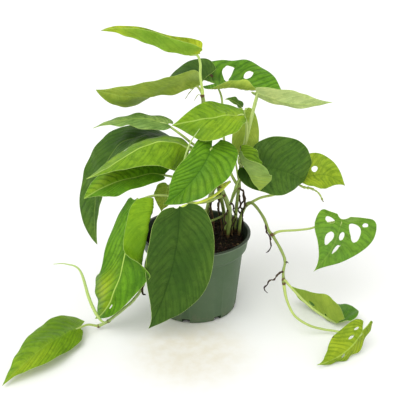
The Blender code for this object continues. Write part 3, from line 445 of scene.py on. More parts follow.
LEAVES = (
    Leaf("leaf_top_rolled",
         ((5, -1, 252), (-24, -3, 255), (-54, -5, 267), (-80, -6, 272.8)), (0.0, -0.2, 1.0),
         Half(16, (52, 66), 30, heart=0.02, widest=0.35, taper=0.4),
         Half(16, (28, 35), 30, heart=0.02, widest=0.2, taper=0.7),
         ((5, 0, 243), (5, 2, 232), (7, 5, 217)), "stem_tall",
         wave=(0.5, 2, 0.0)),
    Leaf("leaf_upper_left",
         ((5, 33, 217), (-40, 14, 210), (-89, 3, 219)), (-0.07, 0.33, 0.94),
         Half(30, (39, -17), 0, heart=0.0, widest=0.4, taper=0.85),
         Half(36, (54, -35), 0, heart=0.22, widest=0.2, taper=0.45),
         ((8, 28, 206), (10, 14, 195)), "stem_tall",
         face_tip=(0.04, 0.68, 0.73),
         roots=((0.6, ((8, 26, 205), (3, 20, 218), (-4, 20, 213), (-9, 19, 206))),
                (0.5, ((9, 22, 201), (4, 17, 211), (-1, 15, 205))))),
    Leaf("leaf_upper_back",
         ((20, 42, 214), (52, 46, 211), (83, 34, 209)), (0.0, -0.28, 0.96),
         Half(40, (12, 6), 0, heart=0.24, widest=0.39, taper=0.31),
         Half(22, (5, 5), 150, (0.4, 0.6), heart=0.2),
         ((26, 39, 201), (27, 26, 178), (29, 12, 155), (34, 5, 138), (42, 2, 124)),
         "stem_right_crown",
         holes=((0.3, -0.48, 0.04, 0.32), (0.49, -0.46, 0.045, 0.17))),
    Leaf("leaf_small_dark",
         ((44, 20, 198), (37, 18, 204), (28, 15, 207)), (0.0, -0.4, 1.0),
         Half(6, (10, 5), 10, heart=0.05), Half(6, (10, 5), 10, heart=0.05),
         ((44, 25, 191), (40, 27, 176), (38, 18, 155), (41, 3, 134)), "stem_right_crown",
         radius=0.9),
    Leaf("leaf_upper_right",
         ((54, -5, 219), (90, -5, 208), (123, -8, 210)), (0.02, 0.8, 0.6),
         Half(7, (15, 2), 5, heart=0.03, widest=0.31, taper=0.1),
         Half(13, (0, 8), 5, heart=0.02, widest=0.43, taper=0.18),
         ((51, -8, 198), (47, -9, 175), (44, -8, 169)), "stem_right_crown", radius=1.2,
         face_tip=(0.0, 0.96, 0.28)),
    Leaf("leaf_centre",
         ((44, -24, 204), (13, -27, 201), (-20, -32, 196)), (-0.06, -0.34, 0.94),
         Half(23, (-4, -3), 10, heart=0.0, widest=0.47, taper=0.22),
         Half(20, (-25, 15), 10, heart=0.0, widest=0.32, taper=0.13),
         ((46, -17, 192), (46, -15, 178), (43, -7, 163)), "stem_right_crown",
         face_tip=(0.04, -0.87, 0.49)),
    Leaf("leaf_behind_centre",
         ((46, 9, 198), (47, 8, 176), (45, 5, 148)), (0.2, 0.95, 0.1),
         Half(13, (10, 5), 10, heart=0.04, widest=0.55),
         Half(13, (10, 5), 10, heart=0.04, widest=0.55),
         ((48, 19, 197), (50, 26, 188), (50, 26, 170), (46, 12, 150), (42, 2, 142)),
         "stem_right_crown",
         radius=1.0),
    Leaf("leaf_left_edge_on",
         ((-24, -9, 191), (-58, -5, 194), (-93, 0, 184)), (0.0, 0.0, 1.0),
         Half(12, (-28, -14), 0, heart=0.04, widest=0.32, taper=0.16),
         Half(15, (2, 4), 0, heart=0.05, widest=0.35, taper=0.2),
         ((-12, -12, 181), (-2, -10, 172), (7, -1, 163), (15, 10, 152)), "stem_tall"),
    Leaf("leaf_left_dark",
         ((-22, 20, 167), (-71, 7, 165), (-95, 4, 116), (-96, -1, 66)), (-0.36, -0.23, 0.9),
         Half(16, (13, 5), 10, heart=0.05, widest=0.37, taper=0.3),
         Half(24, (-10, 19), 10, heart=0.05, widest=0.43, taper=0.85),
         ((-8, 18, 162), (5, 14, 154), (18, 12, 138)), "stem_tall",
         face_tip=(-0.72, -0.7, 0.0)),
    Leaf("leaf_left_bright",
         ((-4, -24, 171), (-34, -34, 181), (-62, -41, 170), (-94, -49, 153)), (-0.1, -0.72, 0.69),
         Half(26, (-15, 24), 0, heart=0.02, widest=0.25, taper=0.05),
         Half(24, (-52, -34), 0, heart=0.05, widest=0.5, taper=0.48),
         ((3, -23, 166), (7, -22, 156), (12, -19, 149), (19, -12, 143)), "stem_front",
         face_tip=(-0.2, -0.57, 0.8)),
    Leaf("leaf_left_lower",
         ((-27, -27, 149), (-61, -33, 147), (-98, -46, 133)), (-0.02, -0.33, 0.94),
         Half(14, (-8, -10), 0, heart=0.0, widest=0.56, taper=0.18),
         Half(21, (10, 10), 0, heart=0.05, widest=0.33, taper=0.59),
         ((-11, -25, 144), (6, -19, 139), (21, -11, 136)), "stem_front",
         face_tip=(0.0, -0.46, 0.89)),
    Leaf("leaf_under_left",
         ((-25, -8, 131), (-32, -12, 106)), (-0.3, 0.9, 0.3),
         Half(11, (10, 5), 10, heart=0.05), Half(11, (10, 5), 10, heart=0.05),
         ((-12, -5, 143), (0, -2, 138), (12, 5, 131), (20, 12, 131)), "stem_tall",
         radius=0.9),
    Leaf("leaf_front_heart",
         ((15, -38, 179), (5, -53, 163), (-27, -59, 133)), (0.07, -0.84, 0.54),
         Half(25, (-6, 15), 15, heart=0.13, widest=0.19, taper=0.43),
         Half(17, (8, 8), 15, heart=0.24, widest=0.55, taper=0.22),
         ((19, -30, 172), (19, -20, 160), (17, -14, 150)), "stem_front",
         face_tip=(-0.23, -0.67, 0.7)),
    Leaf("leaf_front_dark",
         ((-13, -77, 139), (-17, -77, 96), (-43, -70, 14)), (0.15, -0.98, 0.14),
         Half(34, (8, 10), 5, heart=0.02, widest=0.46, taper=0.35),
         Half(26, (16, 13), 5, heart=0.0, widest=0.36, taper=0.0),
         ((-9, -76, 139), (0, -72, 139), (10, -65, 140), (20, -55, 142), (29, -40, 145),
          (31, -24, 140),
          (24, -9, 130)),
         "stem_front"),
    Leaf("leaf_front_left",
         ((-51, -42, 132), (-57, -57, 108), (-63, -66, 83), (-96, -44, 8)), (-0.52, -0.8, 0.3),
         Half(42, (-9, 6), 0, heart=0.0, widest=0.28, taper=0.0, crease=(0.45, 165, 0.30, 0.45),
              waist=(0.34, 0.66, 0.2)),
         Half(31, (-20, 0), 0, heart=0.0, widest=0.64, taper=0.22, waist=(0.22, 0.36, 0.07)),
         ((-38, -42, 134), (-22, -36, 131), (-7, -28, 122), (10, -18, 118),
          (27, -6, 120)), "stem_front", face_tip=(-0.4, -0.82, 0.4), wave=(2.0, 2.0, 0.3),
         holes=((0.78, -0.3, 0.02, 0.08),)),
    Leaf("leaf_floor_left",
         ((-106, -64, 12), (-128, -96, 17), (-160.8, -137.7, 3)), (0.1, -0.5, 0.85),
         Half(15, (-30, -10), -5, heart=0.0, widest=0.41, taper=0.16),
         Half(28, (-20, -3), -5, heart=0.12, widest=0.24, taper=0.3),
         ((-101, -57, 10), (-94, -51, 5)), "vine_left", radius=1.1,
         face_tip=(-0.25, -0.15, 0.93)),
    Leaf("leaf_right_round",
         ((63, -6, 149), (90, -5, 141), (104, 4, 130)), (0.24, -0.82, 0.53),
         Half(31, (8, 17), 5, heart=0.23, widest=0.37, taper=0.85),
         Half(27, (8, 11), 5, heart=0.38, widest=0.23, taper=0.34),
         ((56, -3, 145), (50, -1, 141), (43, 1, 137)), "stem_right_crown",
         face_tip=(0.17, -0.9, 0.4)),
    Leaf("leaf_right_yellow",
         ((101, 11, 129), (125, 12, 133), (144, 7, 124)), (-0.06, -0.54, 0.84),
         Half(24, (3, -2), 5, heart=0.1, widest=0.26, taper=0.17),
         Half(16, (15, 1), 5, heart=0.0, widest=0.45, taper=0.12),
         ((92, 12, 121), (78, 8, 115), (63, 6, 112), (51, 4, 106)), "vine_right",
         face_tip=(-0.09, -0.86, 0.51), holes=((0.41, -0.28, 0.05, 0.14),),
         roots=((1.3, ((97, 12, 125), (104, 9, 122), (112, 7, 121), (119, 5, 117),
                       (124, 5, 108))),)),
    Leaf("leaf_right_curled",
         ((40, -21, 166), (50, -30, 147), (59, -28, 133)), (0.49, 0.05, 0.87),
         Half(19, (52, 45), 0, heart=0.15, widest=0.4, taper=0.5),
         Half(23, (36, 47), 0, heart=0.0, widest=0.5, taper=0.62, waist=(0.35, 0.08, 0.28)),
         ((40, -15, 156), (43, -4, 148)), "stem_right_crown", radius=1.1,
         face_tip=(0.62, 0.46, 0.64), wave=(1.2, 2.5, 0.1)),
    Leaf("leaf_right_holes",
         ((139, -14, 98), (132, -16, 71), (114, -23, 47)), (-0.21, -0.84, 0.5),
         Half(33.5, (-6, -8), 5, heart=0.06, widest=0.15, taper=0.02),
         Half(24, (-13, 15), 5, heart=0.06, widest=0.15, taper=0.0),
         ((135, -6, 92), (124, 1, 86), (112, -2, 83), (98, -10, 85), (80, -17, 87), (73, -19, 84)),
         "vine_right", radius=1.1, face_tip=(0.26, -0.93, 0.26),
         holes=((0.23, 0.52, 0.07, 0.2), (0.48, 0.3, 0.12, 0.2, 0.7), (0.36, -0.12, 0.07, 0.07),
                (0.58, -0.14, 0.08, 0.07), (0.3, -0.45, 0.15, 0.17, 0.8),
                (0.265, -0.74, 0.035, 0.07))),
    Leaf("leaf_floor_right",
         ((135, -49, 6), (118, -26, 5), (94, -10, 24)), (0.03, -0.15, 1.0),
         Half(26, (89, 71), 0, heart=0.14, widest=0.27, taper=0.39),
         Half(28, (17, -12), 0, heart=0.18, widest=0.25, taper=0.22),
         ((123, -57, 16), (108, -56, 27), (93, -52, 41), (83, -49, 52)),
         "vine_right", radius=1.1, face_tip=(0.22, 0.09, 0.97), wave=(0.3, 1.0, 0.1),
         holes=((0.62, -0.2, 0.06, 0.1), (0.31, -0.14, 0.03, 0.06))),
    Leaf("leaf_floor_lime",
         ((149, -88, 22), (129, -104, 9), (105, -114, 5)), (-0.26, -0.7, 0.67),
         Half(11, (-66, -60), 0, heart=0.22, widest=0.25, taper=0.2),
         Half(17, (6, 0), 0, heart=0.15, widest=0.41, taper=0.0),
         ((142, -74, 9), (134, -63, 5), (119, -60, 6), (105, -62, 12),
          (92, -60, 21), (85, -54, 34), (82, -50, 48)), "vine_right", radius=1.2,
         face_tip=(-0.25, -0.74, 0.63),
         holes=((0.14, 0.5, 0.045, 0.08), (0.27, 0.34, 0.05, 0.08), (0.58, -0.25, 0.035, 0.2))),
)

SPIKES = (
    Spike("spike_left", ((-125, -68, 80), (-114, -68, 80), (-102, -69, 74), (-96, -68, 46),
                         (-91, -67, 29),
                         (-86, -63, 17), (-83, -53, 11)), "vine_left"),
    Spike("spike_crown", ((4, -46, 197), (-4, -44, 184), (-9, -45, 168), (-8, -44, 156),
                          (0, -36, 148), (21, -11, 140)),
          "stem_front", 1.3),
    Spike("spike_sheath", ((59, 5, 219), (54, 4, 200), (49, 1, 180), (43, -6, 160)),
          "stem_right_crown", 1.8),
)

# A DARK patch mixes a leaf towards its deep colour; those marked below are painted shade, the
# others darken its colour
LOOKS = {
    "leaf_top_rolled": Look("lime", "tender", 8, 0.3, 0.4, 0.25, 0.4,
                            ((YELLOW, 0.0, 0.9, 0.35, 0.4, 0.9), (YELLOW, 0.0, 0.0, 0.1, 2.0, 1.0),
                             # The DARK patch near the left margin, halfway along, is painted shade
                             # along the rolled leaf's upper edge
                             (YELLOW, 0.9, 0.0, 0.15, 2.0, 0.6), (DARK, 0.5, -0.8, 0.3, 0.4, 0.6),
                             (BROWN, 1.0, 0.0, 0.03, 1.0, 0.8)), "sheath"),
    "leaf_upper_left": Look("dark", "olive", 12, 0.3, 0.7, 0.3, 0.4,
                            ((DARK, 0.5, 0.6, 0.6, 0.4, 1.0), (PALE, 0.15, -0.8, 0.1, 0.25, 0.4),
                             (BROWN, 1.0, 0.0, 0.02, 1.0, 0.6))),
    "leaf_upper_back": Look("mid", "olive", 11, 0.8, 0.3, 0.7, 0.4,
                            ((BROWN, 0.16, -0.5, 0.03, 0.09, 0.8),
                             (DARK, 0.3, -0.4, 0.3, 0.4, 0.35))),
    "leaf_small_dark": Look("dark", "sage", 5, 0.3, 0.3, 0.2, 0.2),
    "leaf_upper_right": Look("mid", "pale", 9, 0.3, 0.4, 0.3, 0.4),
    "leaf_centre": Look("bright", "olive", 10, 0.3, 0.6, 0.4, 0.4,
                        ((DARK, 0.75, -0.7, 0.3, 0.4, 0.35), (YELLOW, 0.1, 0.0, 0.15, 0.5, 0.3))),
    "leaf_behind_centre": Look("mid", "olive", 7, 0.3, 0.5, 0.3, 0.3),
    "leaf_left_edge_on": Look("sage", "sage", 9, 0.5, 0.4, 0.5, 0.5,
                              ((DARK, 0.35, -0.5, 0.3, 0.4, 0.35),
                               (DARK, 0.3, 0.9, 0.3, 0.3, 0.4))),
    "leaf_left_dark": Look("dark", "olive", 12, 0.5, 0.2, 0.5, 0.4,
                           ((DARK, 0.2, 0.1, 0.3, 0.9, 1.0), (DARK, 0.6, -0.6, 0.4, 0.3, 0.4))),
    "leaf_left_bright": Look("bright", "olive", 12, 0.35, 0.9, 0.4, 0.3,
                             ((DARK, 0.1, -0.7, 0.25, 0.4, 0.25),)),
    "leaf_left_lower": Look("mid", "olive", 13, 0.6, 0.5, 0.5, 0.4,
                            ((YELLOW, 0.8, 0.4, 0.3, 0.5, 0.3), (DARK, 0.1, 0.3, 0.3, 0.6, 0.5))),
    "leaf_under_left": Look("mid", "olive", 6, 0.3, 0.5, 0.3, 0.3),
    "leaf_front_heart": Look("mid", "olive", 11, 0.7, -0.7, 0.8, 0.5,
                             ((PALE, 0.0, 0.0, 0.03, 0.08, 0.8), (DARK, 0.1, 0.0, 0.2, 0.4, 0.5),
                              (DARK, 0.5, 0.0, 2.0, 0.9, 0.28),
                              (YELLOW, 0.6, -0.5, 0.3, 0.4, 0.1))),
    "leaf_front_dark": Look("dark", "olive", 11, 0.55, -0.8, 0.6, 0.4,
                            ((DARK, 0.1, 0.1, 0.25, 0.6, 0.8), (DARK, 0.45, -0.3, 0.35, 0.5, 0.75),
                             (DARK, 0.6, 0.5, 0.5, 0.4, 0.6), (DARK, 0.5, 0.1, 2.0, 2.0, 0.45)),
                            "yellow"),
    "leaf_front_left": Look("mid", "fresh", 12, 0.6, 0.9, 0.6, 0.6,
                            ((YELLOW, 0.62, 0.55, 0.16, 0.35, 0.6),
                             (YELLOW, 0.8, 0.2, 0.1, 0.3, 0.4),
                             (DARK, 0.33, -0.1, 0.16, 0.3, 0.8), (DARK, 0.3, 0.9, 0.3, 0.3, 0.3),
                             # The DARK patch 0.42 along, left of the midrib, is painted shade in
                             # the pocket of the crease
                             (DARK, 0.42, -0.6, 0.09, 0.25, 0.9),
                             (DARK, 0.55, -0.75, 0.1, 0.2, 0.6))),
    "leaf_floor_left": Look("bright", "olive", 12, 0.4, 0.1, 0.4, 0.4,
                            ((DARK, 0.3, 0.5, 0.3, 0.45, 0.6),
                             (YELLOW, 0.8, -0.4, 0.3, 0.6, 0.35))),
    "leaf_right_round": Look("dark", "olive", 9, 0.4, -0.3, 0.4, 0.3,
                             # The strong DARK patch on the lobe by the stalk is a painted shadow
                             # cast on the leaf
                             ((DARK, 0.1, -0.2, 0.3, 0.5, 0.5), (DARK, 0.05, 0.8, 0.15, 0.6, 1.0))),
    "leaf_right_yellow": Look("lime", "olive", 9, 0.4, -0.4, 0.3, 0.4,
                              ((DARK, 0.0, 0.0, 0.15, 1.0, 0.2),)),
    "leaf_right_curled": Look("fresh", "sage", 9, 0.7, 0.6, 0.5, 0.8,
                              ((YELLOW, 0.9, 0.5, 0.35, 0.8, 0.4), (PALE, 0.3, 0.3, 0.3, 0.4, 0.3),
                               (DARK, 0.1, 0.9, 0.2, 0.4, 0.3))),
    "leaf_right_holes": Look("mid", "olive", 10, 0.4, 0.15, 0.5, 0.5,
                             ((PALE, 0.05, -0.6, 0.1, 0.4, 0.3), (PALE, 0.5, 0.0, 2.0, 2.0, 0.1))),
    "leaf_floor_right": Look("mid", "olive", 10, 0.3, 0.5, 0.2, 0.2,
                             ((DARK, 0.6, -0.5, 2.0, 2.0, 0.5), (DARK, 0.5, 0.7, 2.0, 0.5, 0.5))),
    "leaf_floor_lime": Look("lime", "olive", 10, 0.5, 0.5, 0.5, 0.9,
                            ((BROWN, 0.45, 1.0, 0.03, 0.06, 1.0), (YELLOW, 0.6, 0.2, 0.5, 0.6, 0.3),
                             (DARK, 0.5, 0.0, 2.0, 2.0, 0.15))),
}


# Curves and blades

def unit(vectors):
    return vectors / np.maximum(np.linalg.norm(vectors, axis=-1, keepdims=True), 1e-12)


def smooth_step(share):
    """0 below 0, 1 above 1 and the curve 3x^2 - 2x^3 between."""
    share = np.clip(share, 0.0, 1.0)
    return share * share * (3.0 - 2.0 * share)


def ripples(places, size, seed, waves=14):
    """Smooth values from about -1 to 1: a sum of seeded sine waves in many directions."""
    draw = np.random.default_rng(seed)
    ways = unit(draw.normal(size=(waves, places.shape[-1])))
    ways = ways * draw.uniform(0.6, 1.6, (waves, 1)) / size
    starts = draw.uniform(0.0, 2 * np.pi, waves)
    return np.sin(2 * np.pi * (places @ ways.T) + starts).sum(-1) * 1.4 / math.sqrt(waves)


def polynomial(points):
    """Coefficients of the curve through the points, spaced by chord length."""
    points = np.array(points, float)
    steps = np.linalg.norm(np.diff(points, axis=0), axis=1)
    knots = np.concatenate(([0.0], np.cumsum(steps) / steps.sum()))
    return np.linalg.solve(np.vander(knots, increasing=True), points)


def along(coefficients, share):
    """Point and direction of the curve, carried on straight before its start."""
    inside = np.maximum(share, 0.0)[..., None]
    powers = np.arange(len(coefficients))
    point = (coefficients * inside[..., None] ** powers[:, None]).sum(-2)
    slopes = coefficients[1:] * powers[1:, None]
    direction = (slopes * inside[..., None] ** powers[:-1, None]).sum(-2)
    return point + direction * np.minimum(share, 0.0)[..., None], direction


def cubic(a, b, c, d, t):
    """Point of the cubic Bezier curve with these four control values."""
    u = 1.0 - t
    return a * u ** 3 + 3 * b * u * u * t + 3 * c * u * t * t + d * t ** 3


def outline(half, q):
    """Edge of one half: shares along the blade and mm across, from sinus to tip.

    Two cubic Bezier curves: the lobe up to LOBE_SHARE of q, then the run to the tip.
    """
    first = np.clip(q / LOBE_SHARE, 0.0, 1.0)
    second = np.clip((q - LOBE_SHARE) / (1.0 - LOBE_SHARE), 0.0, 1.0)
    back, widest = half.heart, half.widest
    x_lobe = cubic(-back, -LOBE_BACK * back - LOBE_DIP, widest - LOBE_FRONT, widest, first)
    y_lobe = cubic(*LOBE_WIDTHS, first)
    x_blade = cubic(widest, widest + TIP_HANDLE, TIP_TURN, 1.0, second)
    y_blade = cubic(1.0, 1.0, half.taper, 0.0, second)
    before = q <= LOBE_SHARE
    lost, centre, spread = half.waist
    width = half.width * (1.0 - lost * np.exp(-((q - centre) / spread) ** 2))
    return np.where(before, x_lobe, x_blade), width * np.where(before, y_lobe, y_blade)


def half_section(half, leaf, s, t):
    """Flat place of the rows' points, then their bent section.

    Row s leaves the midrib at s ** ROW_START and ends on the outline at s. Going
    out along a row the section turns by the fold plus the curl times the square of
    the share across, and its steps are summed to give offset and height.
    """
    edge_x, edge_y = outline(half, s)
    x = (1.0 - t) * s ** ROW_START + t * edge_x + ROW_BOW * t * (1.0 - t) * (1.0 - s)
    y = t * edge_y
    inside = np.clip(x, 0.0, 1.0)
    fold = half.fold[0] + (half.fold[1] - half.fold[0]) * inside
    window = np.exp(-((x - half.at[0]) / half.at[1]) ** 2)
    share = y / half.width
    place, turn, closed, opened = half.crease
    bend = turn * smooth_step((share - place) / CREASE_WIDTH + 0.5)
    bend = bend * smooth_step((opened - x) / (opened - closed))
    angle = np.radians(fold + half.curl * window * share ** 2 + bend)
    middle = 0.5 * (angle[:, 1:] + angle[:, :-1])
    step = np.diff(y, axis=1)
    start = np.zeros((len(y), 1))
    offset = np.concatenate((start, np.cumsum(np.cos(middle) * step, axis=1)), axis=1)
    height = np.concatenate((start, np.cumsum(np.sin(middle) * step, axis=1)), axis=1)
    size, count, phase = leaf.wave
    height = height + size * share ** 2 * np.sin(2 * np.pi * (count * x + phase))
    return x, offset, height, y


def blade_surface(leaf):
    """Middle surface of the blade on a fine even grid, and mm from its midrib.

    Each half's bent section is carried along the midrib's curve, with the face
    turning from its way at the base to its way at the tip.
    """
    rows = np.linspace(0.0, 1.0, SHEET_ROWS + 1)[:, None]
    cols = np.linspace(0.0, 1.0, SHEET_COLS + 1)[None, :]
    s = rows + 0.0 * cols
    t = cols + 0.0 * rows
    curve = polynomial(leaf.spine)
    base_face = unit(np.array(leaf.face, float))
    tip_face = unit(np.array(leaf.face_tip or leaf.face, float))
    sides, reaches = [], []
    for half, sign in ((leaf.left, -1.0), (leaf.right, 1.0)):
        x, offset, height, y = half_section(half, leaf, s, t)
        point, direction = along(curve, x)
        tangent = unit(direction)
        blend = np.clip(x, 0.0, 1.0)[..., None]
        face = base_face * (1.0 - blend) + tip_face * blend
        normal = unit(face - tangent * (face * tangent).sum(-1, keepdims=True))
        across = np.cross(tangent, normal)
        sides.append(point + across * (sign * offset)[..., None] + normal * height[..., None])
        reaches.append(y[..., None])
    surface = np.concatenate((sides[0][:, :0:-1], sides[1]), axis=1)
    reach = np.concatenate((reaches[0][:, :0:-1], reaches[1]), axis=1)
    return np.concatenate((surface, reach), axis=-1)


def sample(surface, s, t):
    """Values of the surface at shares s along and t across, read between grid lines."""
    i = np.clip(s, 0.0, 1.0) * SHEET_ROWS
    j = (np.clip(t, -1.0, 1.0) + 1.0) * SHEET_COLS
    i0 = np.minimum(i.astype(int), SHEET_ROWS - 1)
    j0 = np.minimum(j.astype(int), 2 * SHEET_COLS - 1)
    a = (i - i0)[..., None]
    b = (j - j0)[..., None]
    low = surface[i0, j0] * (1 - b) + surface[i0, j0 + 1] * b
    high = surface[i0 + 1, j0] * (1 - b) + surface[i0 + 1, j0 + 1] * b
    return low * (1 - a) + high * a


def smooth_path(points, step):
    """Points along a Catmull-Rom curve, about one step apart."""
    points = np.array(points, float)
    first = 2 * points[0] - points[1]
    last = 2 * points[-1] - points[-2]
    padded = np.vstack((first, points, last))
    path = []
    for p0, p1, p2, p3 in zip(padded, padded[1:], padded[2:], padded[3:]):
        count = max(1, round(np.linalg.norm(p2 - p1) / step))
        t = (np.arange(count) / count)[:, None]
        path.append(0.5 * (2 * p1 + (p2 - p0) * t + (2 * p0 - 5 * p1 + 4 * p2 - p3) * t * t
                           + (3 * p1 - p0 - 3 * p2 + p3) * t ** 3))
    return np.vstack(path + [points[-1:]])


def spaced(marks, low, high, count):
    """Lines through every mark, evenly spaced between marks, about count steps in all."""
    marks = np.unique(np.round(np.clip([low, high, *marks], low, high), 4))
    steps = np.maximum(1, np.round(np.diff(marks) / (high - low) * count).astype(int))
    runs = [np.linspace(a, b, n, endpoint=False) for a, b, n in zip(marks, marks[1:], steps)]
    return np.concatenate(runs + [marks[-1:]])


def leaf_grid(leaf):
    """Shares along and across of a blade's grid, and which of its cells are kept.

    Rows and columns pass through the sides of each hole. Round a hole the grid
    is drawn in, so that its rectangle becomes an egg whose narrow end points to
    the midrib, slanted like the veins, or a slim ellipse along the rectangle's
    diagonal. The pull fades out at HOLE_REACH times the hole's size.
    """
    ends = (-1.0, 1.0)
    marks = [hole[0] + end * hole[2] for hole in leaf.holes for end in ends]
    rows = spaced(marks, 0.0, 1.0, BLADE_ROWS)
    marks = np.array([0.0] + [hole[1] + end * hole[3] for hole in leaf.holes for end in ends])
    marks = np.sign(marks) * abs(marks) ** (1.0 / RIB_CROWDING)
    cols = spaced(marks, -1.0, 1.0, 2 * BLADE_COLS)
    cols = np.sign(cols) * abs(cols) ** RIB_CROWDING
    s, t = np.meshgrid(rows, cols, indexing="ij")
    keep = np.ones((len(rows) - 1, len(cols) - 1), bool)
    move_s, move_t = np.zeros_like(s), np.zeros_like(t)
    mid_s = 0.5 * (rows[1:] + rows[:-1])[:, None]
    mid_t = 0.5 * (cols[1:] + cols[:-1])[None, :]
    for s0, t0, ds, dt, *slim in leaf.holes:
        keep &= (abs(mid_s - s0) > ds) | (abs(mid_t - t0) > dt)
        side = math.copysign(1.0, t0)
        u, v = (s - s0) / ds, (t - t0) / dt
        square = np.maximum(abs(u), abs(v))
        egg = np.hypot(u, v)
        if slim:
            long_side, short_side = HOLE_LENGTH * math.sqrt(2.0), slim[0] * math.sqrt(2.0)
            egg = np.hypot((u + v * side) / long_side, (u - v * side) / short_side)
        pull = smooth_step((HOLE_REACH - square) / (HOLE_REACH - 1.0))
        draw = (square / np.maximum(egg, TINY) - 1.0) * pull
        outward = np.clip(v, -1.0, 1.0) * side * pull
        taper = HOLE_TAPER * outward
        move_s += ds * u * (draw + taper + draw * taper) + HOLE_SLANT * (1.0 - s0) * dt * outward
        move_t += dt * v * draw
    return s + move_s, np.clip(t + move_t, -1.0, 1.0), keep


def ring_index(first, rows, sides):
    """Numbers of the points of rings round an axis, closed, with one point at each end."""
    index = first + np.arange(rows * sides).reshape(rows, sides)
    index[0], index[-1] = index[0, 0], index[-1, 0]
    return np.concatenate((index, index[:, :1]), axis=1)


def tone_of(brown, pale=0.0):
    """Brown and pale shares of each point, with no dark."""
    return np.stack(np.broadcast_arrays(brown, pale, 0.0), -1)


# Meshes gathered from grids

def grid_faces(index, keep=None):
    """Quads of a grid of vertex numbers, and triangles where a side is one point."""
    cells = np.stack((index[:-1, :-1], index[:-1, 1:], index[1:, 1:], index[1:, :-1]), -1)
    cells = cells[keep] if keep is not None else cells.reshape(-1, 4)
    start = cells[:, 0] == cells[:, 1]
    end = cells[:, 2] == cells[:, 3]
    return cells[~start & ~end], np.concatenate((cells[end & ~start][:, :3],
                                                 cells[start & ~end][:, 1:]))


def border_edges(quads, triangles):
    """Directed edges that only one face has."""
    edges = np.concatenate([np.roll(faces, -k, axis=1)[:, :2] for faces in (quads, triangles)
                            for k in range(faces.shape[1])])
    span = edges.max() + 1
    return edges[~np.isin(edges[:, 0] * span + edges[:, 1], edges[:, 1] * span + edges[:, 0])]


class Skin:
    """Gathers the grids of one piece, in mm, with three vectors at each point.

    lines holds the pattern's coordinates, tone its brown, pale and dark shares,
    and show how strong its veins, its midrib and its yellow are.
    """

    def __init__(self):
        self.points, self.faces = [], []
        self.layers = {"lines": [], "tone": [], "show": []}
        self.count = 0

    def add_points(self, points, lines, tone, show=(0.0, 0.0, 0.0)):
        first = self.count
        flat = points.reshape(-1, 3)
        self.points.append(flat)
        for layer, values in zip(self.layers.values(), (lines, tone, show)):
            layer.append(np.broadcast_to(values, points.shape).reshape(-1, 3))
        self.count += len(flat)
        return first

    def add_faces(self, faces, slot, flip=False):
        if len(faces):
            self.faces.append((faces[:, ::-1] if flip else faces, slot))

    def add_tube(self, path, radii, slot, tone, sides=STALK_SIDES):
        """Round tube along the path, closed by a half ball at each end.

        A point is the path's point plus the radius times cos and sin of the angle
        on two directions square to the path, taken from one fixed direction.
        """
        def capped(values):
            """The rings' values with those of the two end caps."""
            caps = len(CAP_ANGLES)
            return np.concatenate((values[[0] * caps], values, values[[-1] * caps]))

        radii = radii.reshape(len(path), -1)
        steps = np.linalg.norm(np.diff(path, axis=0), axis=1)
        tangent = unit(np.gradient(path, axis=0))
        choices = unit(FIXED_WAYS)
        fixed = choices[np.argmin(abs(choices @ tangent.T).max(axis=1))]
        rise, draw_in = np.sin(CAP_ANGLES), np.cos(CAP_ANGLES)
        place = np.vstack((path[0] - np.outer(rise, tangent[0]) * radii[0].mean(), path,
                           path[-1] + np.outer(rise[::-1], tangent[-1]) * radii[-1].mean()))
        size = np.vstack((np.outer(draw_in, radii[0]), radii, np.outer(draw_in[::-1], radii[-1])))
        way = capped(tangent)
        run = capped(np.concatenate(([0.0], np.cumsum(steps))))
        u = unit(fixed - way * (way @ fixed)[:, None])
        v = np.cross(way, u)
        angle = np.arange(sides) * 2 * np.pi / sides
        ring = np.cos(angle)[:, None] * u[:, None] + np.sin(angle)[:, None] * v[:, None]
        points = place[:, None] + ring * size[:, :, None]
        pattern = np.stack(np.broadcast_arrays(run[:, None], np.cos(angle), np.sin(angle)), -1)
        first = self.add_points(points, pattern, capped(tone)[:, None])
        for faces in grid_faces(ring_index(first, len(place), sides)):
            self.add_faces(faces, slot)

    def make(self, name, materials):
        """The piece as an object at the origin, without its unused points."""
        used = np.unique(np.concatenate([faces.ravel() for faces, _ in self.faces]))
        number = np.full(self.count, -1)
        number[used] = np.arange(len(used))
        mesh = bpy.data.meshes.new(name)
        faces = [face for group, _ in self.faces for face in number[group].tolist()]
        mesh.from_pydata((np.concatenate(self.points)[used] * MM).tolist(), [], faces)
        slots = np.concatenate([np.full(len(group), slot) for group, slot in self.faces])
        mesh.polygons.foreach_set("material_index", slots.astype(np.int32))
        mesh.polygons.foreach_set("use_smooth", np.ones(len(faces), bool))
        for label, values in self.layers.items():
            layer = mesh.attributes.new(label, "FLOAT_VECTOR", "POINT")
            vectors = np.concatenate(values)[used].astype(np.float32)
            layer.data.foreach_set("vector", vectors.ravel())
        for material in materials:
            mesh.materials.append(material)
        mesh.update()
        piece = bpy.data.objects.new(name, mesh)
        bpy.context.scene.collection.objects.link(piece)
        return piece


def blade_relief(leaf, look, s, t, vein, middle, reach, relief):
    """How far the blade's middle surface is raised along its normal, in mm.

    The swelling is the sine between two veins, flattened. The midrib's groove, the
    margin's waves and broad slow waves come on top, and all fade at the tip.
    """
    side, wide = np.sign(t), abs(t)
    swell = abs(np.sin(np.pi * vein)) ** SWELL_FLATNESS - SWELL_MIDDLE
    window = (1.0 - np.exp(-(reach / SWELL_START) ** 2)) * (1.0 - wide ** SWELL_END)
    lift = relief * look.quilt * swell * window * smooth_step((1.0 - s) / SWELL_FADE)
    groove = np.exp(-(reach / RIB_WIDTH) ** 2)
    lift -= RIB_GROOVE * groove * smooth_step((1.0 - s) / GROOVE_FADE)
    seed = sum(map(ord, leaf.name))
    margin = ripples(np.stack((MARGIN_WAVES * s, side), -1), 1.0, seed)
    lift += look.ripple * wide ** 3 * margin * smooth_step((1.0 - s) / MARGIN_FADE)
    lift += SLOW_WAVE * ripples(middle, SLOW_SIZE, seed + 1) * smooth_step((1.0 - s) / SWELL_FADE)
    return lift


